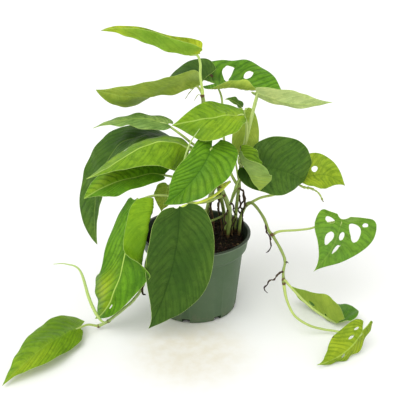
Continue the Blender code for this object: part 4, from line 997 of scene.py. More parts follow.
def blade_tones(look, s, t):
    """Brown, pale, dark and yellow shares of the blade: the strongest of its patches."""
    tones = np.zeros(s.shape + (4,))
    for kind, s0, t0, ds, dt, amount in look.patches:
        spot = np.exp(-((s - s0) / ds) ** 2 - ((t - t0) / dt) ** 2)
        tones[..., kind] = np.maximum(tones[..., kind], amount * spot)
    return tones[..., :YELLOW], tones[..., YELLOW]


def settle(piece, node):
    """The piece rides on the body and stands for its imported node."""
    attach(piece, BODY)
    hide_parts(node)


def add_blade(skin, leaf, look, thickness, relief):
    """Closed sheet of the blade. Top and underside lie half a thickness off its raised
    middle surface, along the normal, and are joined by a rounded margin."""
    surface = blade_surface(leaf)
    s, t, keep = leaf_grid(leaf)
    values = sample(surface, s, t)
    middle, reach = values[..., :3], values[..., 3]
    short = np.minimum(s, 1.0 - 2 * NORMAL_STEP)
    down = sample(surface, short + NORMAL_STEP, t) - sample(surface, short - NORMAL_STEP, t)
    over = sample(surface, short, t + NORMAL_STEP) - sample(surface, short, t - NORMAL_STEP)
    normal = unit(np.cross(over[..., :3], down[..., :3]))
    side, wide = np.sign(t), abs(t)
    vein = look.veins * (s - VEIN_LEAN * wide ** VEIN_CURVE * (1.0 - s))
    vein = vein + VEIN_STAGGER * side * (1.0 - np.exp(-(reach / VEIN_START) ** 2))
    wobble = ripples(np.stack((2.0 * s, t), -1), WOBBLE_SIZE, len(leaf.name))
    vein = vein + VEIN_WOBBLE * wobble
    lift = blade_relief(leaf, look, s, t, vein, middle, reach, relief)
    middle = middle + normal * lift[..., None]
    middle[..., 2] = np.maximum(middle[..., 2], thickness)
    half = (0.5 * thickness * (1.0 - MARGIN_THINNING * wide ** 8))[..., None]
    blade_length = np.linalg.norm(np.diff(surface[:, SHEET_COLS, :3], axis=0), axis=1).sum()
    width = VEIN_WIDTH * look.veins / blade_length
    lines = np.stack(np.broadcast_arrays(vein, side * reach, width), -1)
    tone, yellow = blade_tones(look, s, t)
    show = np.stack(np.broadcast_arrays(look.lines, look.rib, yellow), -1)
    top = skin.add_points(middle + normal * half, lines, tone, show)
    under = skin.add_points(middle - normal * half, lines, tone, show)
    index = np.arange(s.size).reshape(s.shape)
    index[-1] = index[-1, s.shape[1] // 2]
    quads, triangles = grid_faces(index, keep)
    for faces in (quads, triangles):
        skin.add_faces(top + faces, TOP)
        skin.add_faces(under + faces, UNDER, flip=True)
    a, b = border_edges(quads, triangles).T
    flat, flat_normal = middle.reshape(-1, 3), normal.reshape(-1, 3)
    outward = np.zeros_like(flat)
    out = unit(np.cross(flat[b] - flat[a], flat_normal[a]))
    np.add.at(outward, a, out)
    np.add.at(outward, b, out)
    bulge = flat + unit(outward) * MARGIN_BULGE * thickness
    rim = skin.add_points(bulge, lines.reshape(-1, 3), tone.reshape(-1, 3))
    skin.add_faces(np.stack((top + a, rim + a, rim + b, top + b), -1), RIM)
    skin.add_faces(np.stack((rim + a, under + a, under + b, rim + b), -1), RIM)


def nearest(path, point):
    return path[np.argmin(np.linalg.norm(path - np.array(point), axis=1))]


def joined_path(points, joins):
    """Smooth path whose last point lies on the axis of the stem that it joins."""
    path = smooth_path(points, PATH_STEP)
    stem = next(stem for stem in STEMS if stem.name == joins)
    target = nearest(smooth_path(stem.points, PATH_STEP), path[-1])
    path = path[np.linalg.norm(path - target, axis=1) > PATH_STEP]
    return np.vstack((path, target))


def add_root(skin, points, carrier, slot, seed, radius=ROOT_RADIUS, wiggles=ROOT_WIGGLE, age=1.0):
    """Thin wiggling tube that starts on the axis of what carries it."""
    path = smooth_path((nearest(carrier, points[0]),) + tuple(points[1:]), PATH_STEP)
    share = np.linspace(0.0, 1.0, len(path))
    wiggle = np.stack([ripples(path, WIGGLE_SIZE, seed + k) for k in range(3)], -1)
    path = path + wiggles * wiggle * np.sin(np.pi * share ** 0.7)[:, None]
    knots = 1.0 + ROOT_KNOTS * ripples(path, KNOT_SIZE, seed + 5)
    radii = np.interp(share, *ROOT_TAPER) * radius * knots
    skin.add_tube(path, radii, slot, tone_of(age * share), ROOT_SIDES)


# Pot and soil

def rounded(profile, radius, steps=4):
    """The profile with each inner corner replaced by a quadratic Bezier arc."""
    profile = np.array(profile, float)
    t = np.linspace(0.0, 1.0, steps)[:, None]
    runs = [profile[:1]]
    for before, corner, after in zip(profile, profile[1:], profile[2:]):
        back, on = before - corner, after - corner
        back_reach = min(radius, 0.4 * np.linalg.norm(back))
        on_reach = min(radius, 0.4 * np.linalg.norm(on))
        start = corner + unit(back) * back_reach
        end = corner + unit(on) * on_reach
        runs.append(start * (1 - t) ** 2 + corner * 2 * t * (1 - t) + end * t * t)
    return np.vstack(runs + [profile[-1:]])


def wall_radius(pot, z):
    """Outer radius of the plain wall at height z."""
    low = pot.base_radius / MM + WALL_FLARE
    return low + (WALL_TOP_RADIUS - low) * (z - POT_FLOOR) / (WALL_TOP_Z - POT_FLOOR)


def pot_profile(pot):
    """Radius and height of the pot's skin from under its middle round to the inner floor.

    Gives the profile and the rows where the drain slots start and end outside
    and inside, both with the same number of rows between.
    """
    wall, top = pot.wall / MM, pot.height / MM
    base, rim = pot.base_radius / MM, pot.rim_radius / MM
    slot_start = base - SLOT_REACH
    slot_top = wall_radius(pot, SLOT_HEIGHT)
    under = [(0, 0), (slot_start * 0.5, 0), (slot_start, 0)]
    corner = rounded([(slot_start, 0), (base - BASE_BEVEL, 0),
                      (wall_radius(pot, POT_FLOOR), POT_FLOOR), (slot_top, SLOT_HEIGHT)],
                     BASE_ROUNDING)
    outside = rounded([(slot_top, SLOT_HEIGHT), (WALL_TOP_RADIUS, WALL_TOP_Z),
                       (COLLAR_RADIUS, COLLAR_Z),
                       (COLLAR_TOP_RADIUS, top - LIP_HEIGHT - LIP_UNDERCUT),
                       (rim, top - LIP_HEIGHT), (rim, top), (COLLAR_TOP_RADIUS - wall, top),
                       (COLLAR_RADIUS - wall, COLLAR_Z + STEP_RISE),
                       (WALL_TOP_RADIUS - wall, WALL_TOP_Z + STEP_RISE),
                       (slot_top - wall, SLOT_HEIGHT)], EDGE_ROUNDING)
    inner_floor = (wall_radius(pot, POT_FLOOR) - wall, POT_FLOOR)
    turn = rounded([(slot_top - wall, SLOT_HEIGHT), inner_floor, (slot_start, POT_FLOOR)],
                   EDGE_ROUNDING)
    share = np.linspace(0.0, 1.0, len(corner))
    turn_share = np.linspace(0.0, 1.0, len(turn))
    inside = np.stack([np.interp(share, turn_share, turn[:, k]) for k in (0, 1)], -1)
    within = [(slot_start * 0.5, POT_FLOOR), (0, POT_FLOOR)]
    profile = np.vstack((under[:-1], corner, outside[1:-1], inside, within))
    out_start = len(under) - 1
    out_end = out_start + len(corner) - 1
    in_start = out_end + len(outside) - 1
    return profile, out_start, out_end, in_start, in_start + len(inside) - 1


def turned(radius, angle, z):
    """Points at these radii, angles and heights round the pot's axis."""
    across = np.broadcast_arrays(radius * np.cos(angle), radius * np.sin(angle), z)
    return np.stack(across, -1)


def build_pot(context):
    """The turned pot: its profile carried round the axis, with the slots' cells left
    out and each opening's four sides bridged from the outer to the inner skin."""
    pot = context.scene.vine_pot
    profile, out_start, out_end, in_start, in_end = pot_profile(pot)
    rows = len(profile)
    angle = SLOT_FIRST + 2 * np.pi * np.arange(POT_SIDES) / POT_SIDES
    points = turned(profile[:, :1], angle, profile[:, 1:])
    tone = np.zeros(points.shape)
    # The inner skin gets the third tone, which the pot's pattern turns into painted shade
    tone[(out_end + in_start) // 2 + 1:, :, 2] = 1.0
    skin = Skin()
    skin.add_points(points, points, tone)
    index = ring_index(0, rows, POT_SIDES)
    place = (np.arange(POT_SIDES) + SLOT_CELLS) % (POT_SIDES // SLOT_COUNT)
    cut = place < 2 * SLOT_CELLS
    row = np.arange(rows - 1)
    low_rows = ((row >= out_start) & (row < out_end)) | ((row >= in_start) & (row < in_end))
    for faces in grid_faces(index, ~(low_rows[:, None] & cut[None, :])):
        skin.add_faces(faces, 0, flip=True)
    columns = np.flatnonzero(cut)
    for outer_row, inner_row, flip in ((out_start, in_end, False), (out_end, in_start, True)):
        sheet = np.stack((index[outer_row, columns], index[outer_row, columns + 1],
                          index[inner_row, columns + 1], index[inner_row, columns]), -1)
        skin.add_faces(sheet, 0, flip)
    outer_rows = np.arange(out_start, out_end)
    inner_rows = in_end - np.arange(out_end - out_start)
    for start in np.flatnonzero(place == 0):
        for column, flip in ((start, True), (start + 2 * SLOT_CELLS, False)):
            column %= POT_SIDES
            sheet = np.stack((index[outer_rows, column], index[outer_rows + 1, column],
                              index[inner_rows - 1, column], index[inner_rows, column]), -1)
            skin.add_faces(sheet, 0, flip)
    settle(skin.make("nursery_pot", [pot_plastic(pot)]), "pot")


def soil_height(x, y):
    """Top of the soil in mm: its level, a low crown, and two sizes of lumps."""
    places = np.stack((x, y), -1)
    crown = SOIL_CROWN * np.exp(-(np.hypot(x, y) / CROWN_REACH) ** 2)
    lumps = sum(rise * ripples(places, size, seed) for rise, size, seed in SOIL_LUMPS)
    return SOIL_TOP + crown + lumps


def spun(a, b, angle):
    """The two coordinates turned by the angle in their plane."""
    return a * np.cos(angle) - b * np.sin(angle), a * np.sin(angle) + b * np.cos(angle)


def bark_bits(skin, count, seed, size, spread, slot):
    """Chips: one lump of two points and two rings of six, stretched, turned and laid
    on the soil, for all at once."""
    draw = np.random.default_rng(seed)
    k = np.arange(6)
    after = (k + 1) % 6
    ring = 0.5 * np.stack((np.cos(k * np.pi / 3), np.sin(k * np.pi / 3), 0 * k), -1)
    lump = np.concatenate(([(0, 0, 0.5)], ring + (0, 0, CHIP_RINGS[0]),
                           ring + (0, 0, CHIP_RINGS[1]), [(0, 0, -0.5)]))
    scale = np.stack([draw.uniform(low, high, count) for low, high in CHIP_SHAPES], -1)
    points = lump[None] * scale[:, None] * size * draw.uniform(0.75, 1.25, (count, 14, 1))
    turn = draw.uniform(0, 2 * np.pi, count)[:, None]
    tilt = draw.normal(0, CHIP_TILT, count)[:, None]
    x, z = spun(points[..., 0], points[..., 2], tilt)
    x, y = spun(x, points[..., 1], turn)
    radius = spread * np.sqrt(draw.uniform(0.0, 1.0, count))[:, None]
    around = draw.uniform(0, 2 * np.pi, count)[:, None]
    px, py = radius * np.cos(around), radius * np.sin(around)
    places = np.stack((x + px, y + py, z + soil_height(px, py) + CHIP_RISE * size), -1)
    shade = draw.uniform(0.0, 1.0, (count, 1, 1)) * np.ones((1, 14, 3))
    first = skin.add_points(places, places, shade)
    start = first + 14 * np.arange(count)[:, None, None]
    for corners in ((0 * k, 1 + k, 1 + after), (1 + k, 7 + k, 7 + after, 1 + after),
                    (13 + 0 * k, 7 + after, 7 + k)):
        skin.add_faces((start + np.stack(corners, -1)).reshape(-1, len(corners)), slot)


def build_soil(context):
    """The soil: a lumpy disc on a plain tapered side and bottom, with bark chips and crumbs."""
    pot, soil = context.scene.vine_pot, context.scene.vine_soil
    clear = pot.wall / MM + SOIL_GAP
    edge = COLLAR_RADIUS + (COLLAR_TOP_RADIUS - COLLAR_RADIUS) * SOIL_COLLAR_SHARE - clear
    angle = np.arange(SOIL_SIDES) * 2 * np.pi / SOIL_SIDES
    radius = edge * np.linspace(0.0, 1.0, SOIL_RINGS)[:, None] ** SOIL_CROWDING
    droop = SOIL_DROOP * smooth_step((radius / edge - 1.0) / SOIL_EDGE + 1.0)
    top = turned(radius, angle, 0.0)
    top[..., 2] = soil_height(top[..., 0], top[..., 1]) - droop
    side = np.array(((COLLAR_RADIUS - clear, SOIL_SHOULDER), (WALL_TOP_RADIUS - clear, WALL_TOP_Z),
                     (wall_radius(pot, SOIL_MIDDLE) - clear, SOIL_MIDDLE),
                     (wall_radius(pot, POT_FLOOR) - clear, SOIL_FLOOR),
                     (0.0, SOIL_FLOOR)))
    points = np.concatenate((top, turned(side[:, :1], angle, side[:, 1:])))
    skin = Skin()
    skin.add_points(points, points, np.zeros(3))
    for faces in grid_faces(ring_index(0, len(points), SOIL_SIDES)):
        skin.add_faces(faces, 0, flip=True)
    chip = soil.chip_size / MM
    bark_bits(skin, soil.chips, 11, chip, edge - CHIP_MARGIN, 1)
    bark_bits(skin, CRUMBS * soil.chips, 12, CRUMB_SIZE * chip, edge - CRUMB_MARGIN, 1)
    settle(skin.make("potting_mix", [potting_mix(soil), bark_chip(soil)]), "soil")


# Stems, leaves and spikes

def at_joints(path, joints):
    """Share from 1 at a joint to 0 away from it, for each joint."""
    return [np.exp(-(np.linalg.norm(path - joint, axis=1) / NODE_REACH) ** 2) for joint in joints]


def stem_radii(stem, path, joints):
    """Radius along the stem: its taper, a swelling at each joint, and slight waves."""
    radii = np.linspace(*stem.radius, len(path)) + NODE_SWELL * sum(at_joints(path, joints))
    return radii + STEM_WAVE * ripples(path, WAVE_SIZE, len(path))


def stem_joints(stem):
    """Where leaves' stalks and spikes meet the stem's axis."""
    axis = smooth_path(stem.points, PATH_STEP)
    ends = [leaf.stalk[-1] for leaf in LEAVES if leaf.joins == stem.name]
    ends += [spike.points[-1] for spike in SPIKES if spike.joins == stem.name]
    return [nearest(axis, end) for end in ends]


def damp(path):
    """How brown skin is inside the pot near the soil: full at its top, none a short way above."""
    low = smooth_step((SOIL_TOP + DAMP_REACH - path[:, 2]) / DAMP_REACH)
    return low * smooth_step((COLLAR_TOP_RADIUS - np.hypot(path[:, 0], path[:, 1])) / DAMP_EDGE)


def build_stems(context):
    """Each stem: a tube along its points, browner with age and at its joints, with its
    shoots and roots."""
    colours = context.scene.vine_colours
    materials = [stem_skin(colours, "Stem skin", colours.stem), root_skin(colours),
                 stem_skin(colours, "Leaf sheath", colours.sheath)]
    for number, stem in enumerate(STEMS):
        path = smooth_path(stem.points, PATH_STEP)
        joints = stem_joints(stem)
        brown = np.linspace(*stem.age, len(path))
        for near in at_joints(path, joints):
            brown = np.maximum(brown, JOINT_BROWN * near)
        tone = tone_of(np.maximum(brown, damp(path)), stem.pale)
        skin = Skin()
        skin.add_tube(path, stem_radii(stem, path, joints), SKIN, tone, STEM_SIDES)
        for radius, old, light, points in stem.shoots:
            shoot = smooth_path(points, PATH_STEP)
            waves = radius * (1.0 + SHOOT_WAVE * ripples(shoot, WIGGLE_SIZE, number))
            skin.add_tube(shoot, waves, SHEATH if light >= YOUNG else SKIN,
                          tone_of(np.maximum(old, damp(shoot)), light))
        for k, root in enumerate(stem.roots):
            add_root(skin, root, path, BARE_ROOT, 40 * number + 7 * k)
        settle(skin.make(stem.name + "_tube", materials), stem.name)


def build_leaves(context):
    """Each leaf: its closed blade, and the stalk from inside the blade into the stem."""
    finish, colours = context.scene.vine_leaves, context.scene.vine_colours
    for leaf in LEAVES:
        look = LOOKS[leaf.name]
        skin = Skin()
        add_blade(skin, leaf, look, finish.thickness / MM, finish.relief)
        inside, _ = along(polynomial(leaf.spine), np.array(STALK_INSIDE))
        inside = inside - STALK_DROP * leaf.radius * unit(np.array(leaf.face, float))
        path = joined_path(np.vstack((inside, leaf.stalk)), leaf.joins)
        share = np.linspace(0.0, 1.0, len(path))
        tone = tone_of(np.interp(share, *STALK_BROWN), np.interp(share, *STALK_PALE))
        skin.add_tube(path, leaf.radius * np.interp(share, *STALK_TAPER), STALK, tone)
        for k, (radius, root) in enumerate(leaf.roots):
            add_root(skin, root, path, STALK, 500 + k, radius, 0.0, GREEN_ROOT_AGE)
        materials = [leaf_face(finish, colours, look.top, "top"),
                     leaf_face(finish, colours, look.under, "underside"), leaf_margin(colours),
                     stem_skin(colours, "Leaf " + look.stalk, getattr(colours, look.stalk))]
        settle(skin.make(leaf.name + "_blade", materials), leaf.name)


def build_spikes(context):
    """Each rolled leaf: a tapered tube whose section is a spiral's, so its edge shows as a step."""
    colours = context.scene.vine_colours
    rolled = stem_skin(colours, "Rolled leaf", colours.sheath)
    turn = np.arange(STEM_SIDES) / STEM_SIDES
    for spike in SPIKES:
        path = joined_path(spike.points, spike.joins)
        share = np.linspace(0.0, 1.0, len(path))
        winding = np.mod(turn[None, :] + SPIRAL_TWIST * share[:, None], 1.0)
        radii = spike.radius * np.interp(share, *SPIKE_TAPER)[:, None]
        tone = tone_of(np.interp(share, *SPIKE_BROWN), np.interp(share, *SPIKE_PALE))
        skin = Skin()
        skin.add_tube(path, radii * (1.0 + SPIRAL_STEP * (winding - 0.5)), 0, tone, STEM_SIDES)
        settle(skin.make(spike.name + "_roll", [rolled]), spike.name)


# Materials

class Graph:
    """Short calls that add nodes to one tree; a value may be a number, a colour or a socket."""

    def __init__(self, tree):
        self.tree = tree

    def node(self, kind, values=(), **settings):
        made = self.tree.nodes.new(kind)
        for name, value in settings.items():
            setattr(made, name, value)
        for place, value in values:
            socket = made.inputs[place]
            if isinstance(value, bpy.types.NodeSocket):
                self.tree.links.new(value, socket)
            elif socket.type == "RGBA":
                socket.default_value = (*value, 1.0)
            else:
                socket.default_value = value
        return made

    def maths(self, operation, a, b=0.0, clamp=False):
        made = self.node("ShaderNodeMath", ((0, a), (1, b)), operation=operation, use_clamp=clamp)
        return made.outputs[0]

    def times(self, a, b, clamp=False):
        return self.maths("MULTIPLY", a, b, clamp)

    def about(self, value):
        """The value less a half, so that a noise goes both ways."""
        return self.maths("SUBTRACT", value, 0.5)

    def total(self, values, weights):
        """Sum of the values, each times its weight."""
        terms = [self.times(value, weight) for value, weight in zip(values, weights)]
        whole = terms[0]
        for term in terms[1:]:
            whole = self.maths("ADD", whole, term)
        return whole

    def joined(self, x, y, z=0.0):
        return self.node("ShaderNodeCombineXYZ", ((0, x), (1, y), (2, z))).outputs[0]

    def mix(self, share, a, b):
        made = self.node("ShaderNodeMix", ((0, share), (6, a), (7, b)), data_type="RGBA")
        return made.outputs[2]

    def layers(self, colour, masks, given, table):
        """The colour under one layer after another, each a smooth step of one mask."""
        for mask, low, high, share, name in table:
            amount = self.times(self.ramp(masks[mask], low, high), share)
            colour = self.mix(amount, colour, given[name])
        return colour

    def noise(self, place, scale, detail=3.0, rough=0.55):
        made = self.node("ShaderNodeTexNoise", (("Vector", place), ("Scale", scale),
                                                ("Detail", detail), ("Roughness", rough)))
        return made.outputs["Fac"]

    def noises(self, place, table):
        return {name: self.noise(place, *numbers) for name, numbers in table.items()}

    def ramp(self, value, low, high, start=0.0, end=1.0):
        """Smooth step from start to end as the value goes from low to high."""
        made = self.node("ShaderNodeMapRange", ((0, value), (1, low), (2, high), (3, start),
                                                (4, end)), interpolation_type="SMOOTHSTEP")
        return made.outputs[0]

    def net(self, place, scale, line):
        """Lines between the cells of a random pattern."""
        made = self.node("ShaderNodeTexVoronoi", (("Vector", place), ("Scale", scale)),
                         feature="DISTANCE_TO_EDGE")
        return self.ramp(made.outputs["Distance"], 0.0, line, 1.0, 0.0)

    def parts(self, name):
        """The three numbers of a point attribute."""
        read = self.node("ShaderNodeAttribute", attribute_name=name)
        return self.node("ShaderNodeSeparateXYZ", ((0, read.outputs["Vector"]),)).outputs

    def place(self):
        return self.node("ShaderNodeTexCoord").outputs["Object"]


def fill_leaf(graph, given):
    """Veins are lines where the pattern's first number is whole, in a broad shade; the
    midrib lies where its second, mm from the midrib, is 0. Streaks run along the veins
    and a fine net of cells lies between them."""
    vein, reach, width = graph.parts("lines")
    brown, pale, dark = graph.parts("tone")
    strength, rib_strength, yellow = graph.parts("show")
    place = graph.place()
    middle = graph.maths("ABSOLUTE", graph.about(graph.maths("FRACT", vein)))
    away = graph.maths("SUBTRACT", 0.5, middle)
    from_vein = graph.maths("DIVIDE", away, graph.maths("MAXIMUM", width, THINNEST_VEIN))
    narrow = graph.ramp(from_vein, *VEIN_LINE, 1.0, 0.0)
    from_rib = graph.maths("ABSOLUTE", reach)
    rib = graph.ramp(from_rib, *RIB_LINE, 1.0, 0.0)
    shade = graph.maths("MAXIMUM", graph.ramp(away, *VEIN_SHADE), graph.ramp(from_rib, *RIB_SHADE))
    run = graph.joined(*(graph.times(value, pull) for value, pull in
                         zip((vein, reach), STREAK_PULL)))
    masks = graph.noises(place, LEAF_NOISES)
    masks["streaks"] = graph.noise(run, *LEAF_STREAKS)
    net = graph.net(place, *LEAF_NET)
    colour = graph.layers(given["Ground"], masks, given, LEAF_LAYERS)
    shade = graph.times(graph.times(shade, given["Shading"]), strength)
    veins = graph.times(graph.times(narrow, given["Side veins"]), strength)
    dry = graph.total((brown, graph.about(masks["specks"])), (1.0, DRY_SPECKS))
    # Here shade is painted shade along the veins and beside the midrib, and the top side's vein
    # lines are painted shade in the sunken veins. dark, from the DARK patches, is partly painted
    # shade
    for amount, name in ((yellow, "Yellow"), (shade, "Deep"), (veins, "Vein"),
                         (graph.times(net, NET_SHOW), "Vein"), (dark, "Deep"), (pale, "Pale"),
                         (graph.times(rib, rib_strength, clamp=True), "Rib"),
                         (graph.times(rib, graph.times(rib_strength, -1.0), clamp=True), "Deep"),
                         (graph.ramp(dry, *DRY_EDGE), "Brown")):
        colour = graph.mix(amount, colour, given[name])
    rough = graph.total((given["Gloss"], graph.about(masks["clouds"]), net), LEAF_ROUGHNESS)
    return colour, rough, graph.total((narrow, net, masks["streaks"]), LEAF_HEIGHT)


def leaf_face(finish, colours, shade, side):
    """One side of a blade in one of the leaf colours."""
    ground = np.array(getattr(colours, shade))
    top = side == "top"
    deep = ground * (DEEP_TOP if top else DEEP_UNDER)
    # On the top side the vein lines take the deep colour, as painted shade in the sunken veins;
    # underneath they are paler, in their own colour. Shading sets the painted shade along the veins
    # and the midrib.
    values = {
        "Ground": ground, "Fresh": ground * FRESHER, "Deep": deep,
        "Vein": deep if top else ground * PALER_VEIN, "Rib": colours.rib, "Pale": colours.pale,
        "Brown": colours.brown, "Yellow": colours.yellow, "Side veins": 0.5,
        "Shading": finish.shading * (1.0 if top else UNDER_SHADING),
        "Gloss": finish.roughness + (0.0 if top else UNDER_DULLNESS)}
    specular = finish.specular * (1.0 if top else UNDER_SPECULAR)
    return finished(f"Leaf {side} {shade}", "Leaf veins", values, LEAF_BUMP, specular)


def skin_values(colours, ground, streak, gloss):
    """Values of the stem's pattern for a skin of this colour."""
    return {"Ground": ground, "Streak": np.minimum(ground * streak, BRIGHTEST),
            "Pale": colours.pale, "Brown": colours.brown, "Gloss": gloss}


def fill_stem(graph, given):
    """Green skin with streaks along it, brown where its tone says, and rings at joints."""
    run, round_x, round_y = graph.parts("lines")
    brown, pale, _ = graph.parts("tone")
    masks = graph.noises(graph.place(), STEM_NOISES)
    pulled = (graph.times(value, pull) for value, pull in zip((run, round_x, round_y), STEM_PULL))
    streaks = graph.noise(graph.joined(*pulled), *STEM_STREAKS)
    colour = graph.mix(graph.ramp(streaks, *STREAK_EDGE), given["Ground"], given["Streak"])
    colour = graph.mix(pale, colour, given["Pale"])
    patches = (brown, graph.about(masks["clouds"]), graph.about(streaks))
    wear_and_shadow = graph.ramp(graph.total(patches, WORN_WEIGHTS), *WORN_EDGE)
    colour = graph.mix(wear_and_shadow, colour, given["Brown"])
    rings = graph.times(graph.noise(run, *RING_NOISE), wear_and_shadow)
    rough = graph.total((given["Gloss"], wear_and_shadow), STEM_ROUGHNESS)
    return colour, rough, graph.total((streaks, masks["fine"], rings), STEM_HEIGHT)


def stem_skin(colours, name, ground):
    values = skin_values(colours, np.array(ground), STREAK_TINT, 0.42)
    return finished(name, "Stem streaks", values, STEM_BUMP, 0.35)


def root_skin(colours):
    """Aerial root: dark at its tip, brown-grey along, in the stem's pattern."""
    root = np.array(colours.root)
    values = {"Ground": root, "Streak": root * 1.8, "Pale": root * 2.5, "Brown": root * 0.5,
              "Gloss": 0.75}
    return finished("Aerial root", "Stem streaks", values, ROOT_BUMP, 0.2)


def leaf_margin(colours):
    values = skin_values(colours, np.array(colours.rim), 1.15, 0.5)
    return finished("Leaf margin", "Stem streaks", values, MARGIN_BUMP, 0.25)


def fill_pot(graph, given):
    """Moulded plastic: cloudy green, fine grain, scuffs, a lighter band on the lip, dust low down,
    painted shade inside.
    """
    height = graph.parts("lines")[2]
    inner = graph.parts("tone")[2]
    masks = graph.noises(graph.place(), POT_NOISES)
    masks["lip"] = graph.total((height, masks["scuffs"]), (1.0, LIP_RAGGED))
    low = graph.times(graph.ramp(height, *DUST_HEIGHT), graph.ramp(masks["scuffs"], *DUST_EDGE))
    colour = graph.layers(given["Ground"], masks, given, POT_LAYERS)
    colour = graph.mix(graph.times(low, DUST_SHOW), colour, given["Dust"])
    # The inner wall is mixed towards a near-black green: painted shade inside the pot
    colour = graph.mix(graph.times(inner, INNER_SHADE), colour, given["Stain"])
    rough = graph.total((given["Gloss"], graph.about(masks["scuffs"])), POT_ROUGHNESS)
    return colour, rough, graph.total((masks["grain"], masks["scuffs"]), POT_HEIGHT)


def pot_plastic(pot):
    ground = np.array(pot.colour)
    # The lip's lighter band, and the near-black painted shade of the inner wall
    values = {"Ground": ground, "Light": ground * LIGHTER_PLASTIC, "Worn": pot.lip_colour,
              "Dust": DUST_COLOUR, "Stain": INNER_SHADE_COLOUR, "Gloss": 0.5}
    return finished("Green pot plastic", "Moulded plastic", values, POT_BUMP, 0.3)


def soil_finish(name, ground, clump, chip, bump):
    values = {"Ground": ground, "Clump": clump, "Chip": chip, "Pale chip": PALE_CHIP}
    return finished(name, "Soil grain", values, bump, 0.15)


def fill_soil(graph, given):
    """Dark mix: two colours in clumps, with fine rough grain; bits vary by their own tone."""
    masks = graph.noises(graph.place(), SOIL_NOISES)
    masks["own"] = graph.parts("tone")[0]
    colour = graph.layers(given["Ground"], masks, given, SOIL_LAYERS)
    rough = graph.ramp(masks["clumps"], *SOIL_ROUGHNESS)
    return colour, rough, graph.total((masks["clumps"], masks["grain"]), SOIL_HEIGHT)


PATTERNS = {"Leaf veins": fill_leaf, "Stem streaks": fill_stem, "Moulded plastic": fill_pot,
            "Soil grain": fill_soil}


def pattern_group(name, values):
    """Shader node group that takes such values and gives Color, Roughness and Height."""
    if name in bpy.data.node_groups:
        return bpy.data.node_groups[name]
    group = bpy.data.node_groups.new(name, "ShaderNodeTree")
    kinds = [(label, "INPUT", "Color" if np.ndim(value) else "Float")
             for label, value in values.items()]
    kinds += [("Color", "OUTPUT", "Color"), ("Roughness", "OUTPUT", "Float"),
              ("Height", "OUTPUT", "Float")]
    for label, way, kind in kinds:
        group.interface.new_socket(label, in_out=way, socket_type="NodeSocket" + kind)
    graph = Graph(group)
    results = PATTERNS[name](graph, graph.node("NodeGroupInput").outputs)
    graph.node("NodeGroupOutput", enumerate(results))
    return group


def finished(name, pattern, values, bump, specular):
    """Material whose colour, roughness and bump come from the pattern with these values."""
    if name in bpy.data.materials:
        return bpy.data.materials[name]
    made = bpy.data.materials.new(name)
    made.use_nodes = True
    graph = Graph(made.node_tree)
    shader = made.node_tree.nodes["Principled BSDF"]
    group = graph.node("ShaderNodeGroup", node_tree=pattern_group(pattern, values))
    for label, value in values.items():
        group.inputs[label].default_value = (*value, 1.0) if np.ndim(value) else value
    height = graph.node("ShaderNodeBump", (("Strength", 1.0), ("Distance", bump),
                                           ("Height", group.outputs["Height"])))
    for result, place in ((group.outputs["Color"], "Base Color"),
                          (group.outputs["Roughness"], "Roughness"),
                          (height.outputs["Normal"], "Normal")):
        made.node_tree.links.new(result, shader.inputs[place])
    shader.inputs["Specular IOR Level"].default_value = specular
    return made


def potting_mix(soil):
    ground = np.array(soil.colour)
    return soil_finish("Potting mix", ground, ground * CLUMP_TINT, soil.bark_colour, SOIL_BUMP)


def bark_chip(soil):
    bark = np.array(soil.bark_colour)
    return soil_finish("Bark chip", soil.colour, bark * DULL_BARK, bark, BARK_BUMP)


# Stage

def paint_floor(stage):
    """Material of the floor: nearly white, with a faint warm painted shadow in front of the pot."""
    paint = bpy.data.materials.new("Pale floor")
    paint.use_nodes = True
    graph = Graph(paint.node_tree)
    shader = paint.node_tree.nodes["Principled BSDF"]
    place = graph.place()
    tint = graph.mix(graph.noise(place, FLOOR_CLOUDS), stage.floor_colour, FLOOR_GREY)
    # Painted shadow: a warm darker tint, strongest near its centre in front of the pot, with a
    # ragged edge
    away = graph.node("ShaderNodeVectorMath", ((0, place), (1, FLOOR_SHADOW_PLACE)), operation="DISTANCE")
    near = graph.ramp(away.outputs["Value"], *FLOOR_SHADOW_EDGE)
    wear_and_shadow = graph.times(near, graph.ramp(graph.noise(place, *FLOOR_SHADOW_NOISE), *FLOOR_SHADOW_RAGGED))
    tint = graph.mix(wear_and_shadow, tint, stage.stain)
    paint.node_tree.links.new(tint, shader.inputs["Base Color"])
    shader.inputs["Roughness"].default_value = FLOOR_ROUGHNESS
    shader.inputs["Specular IOR Level"].default_value = 0.1
    return paint


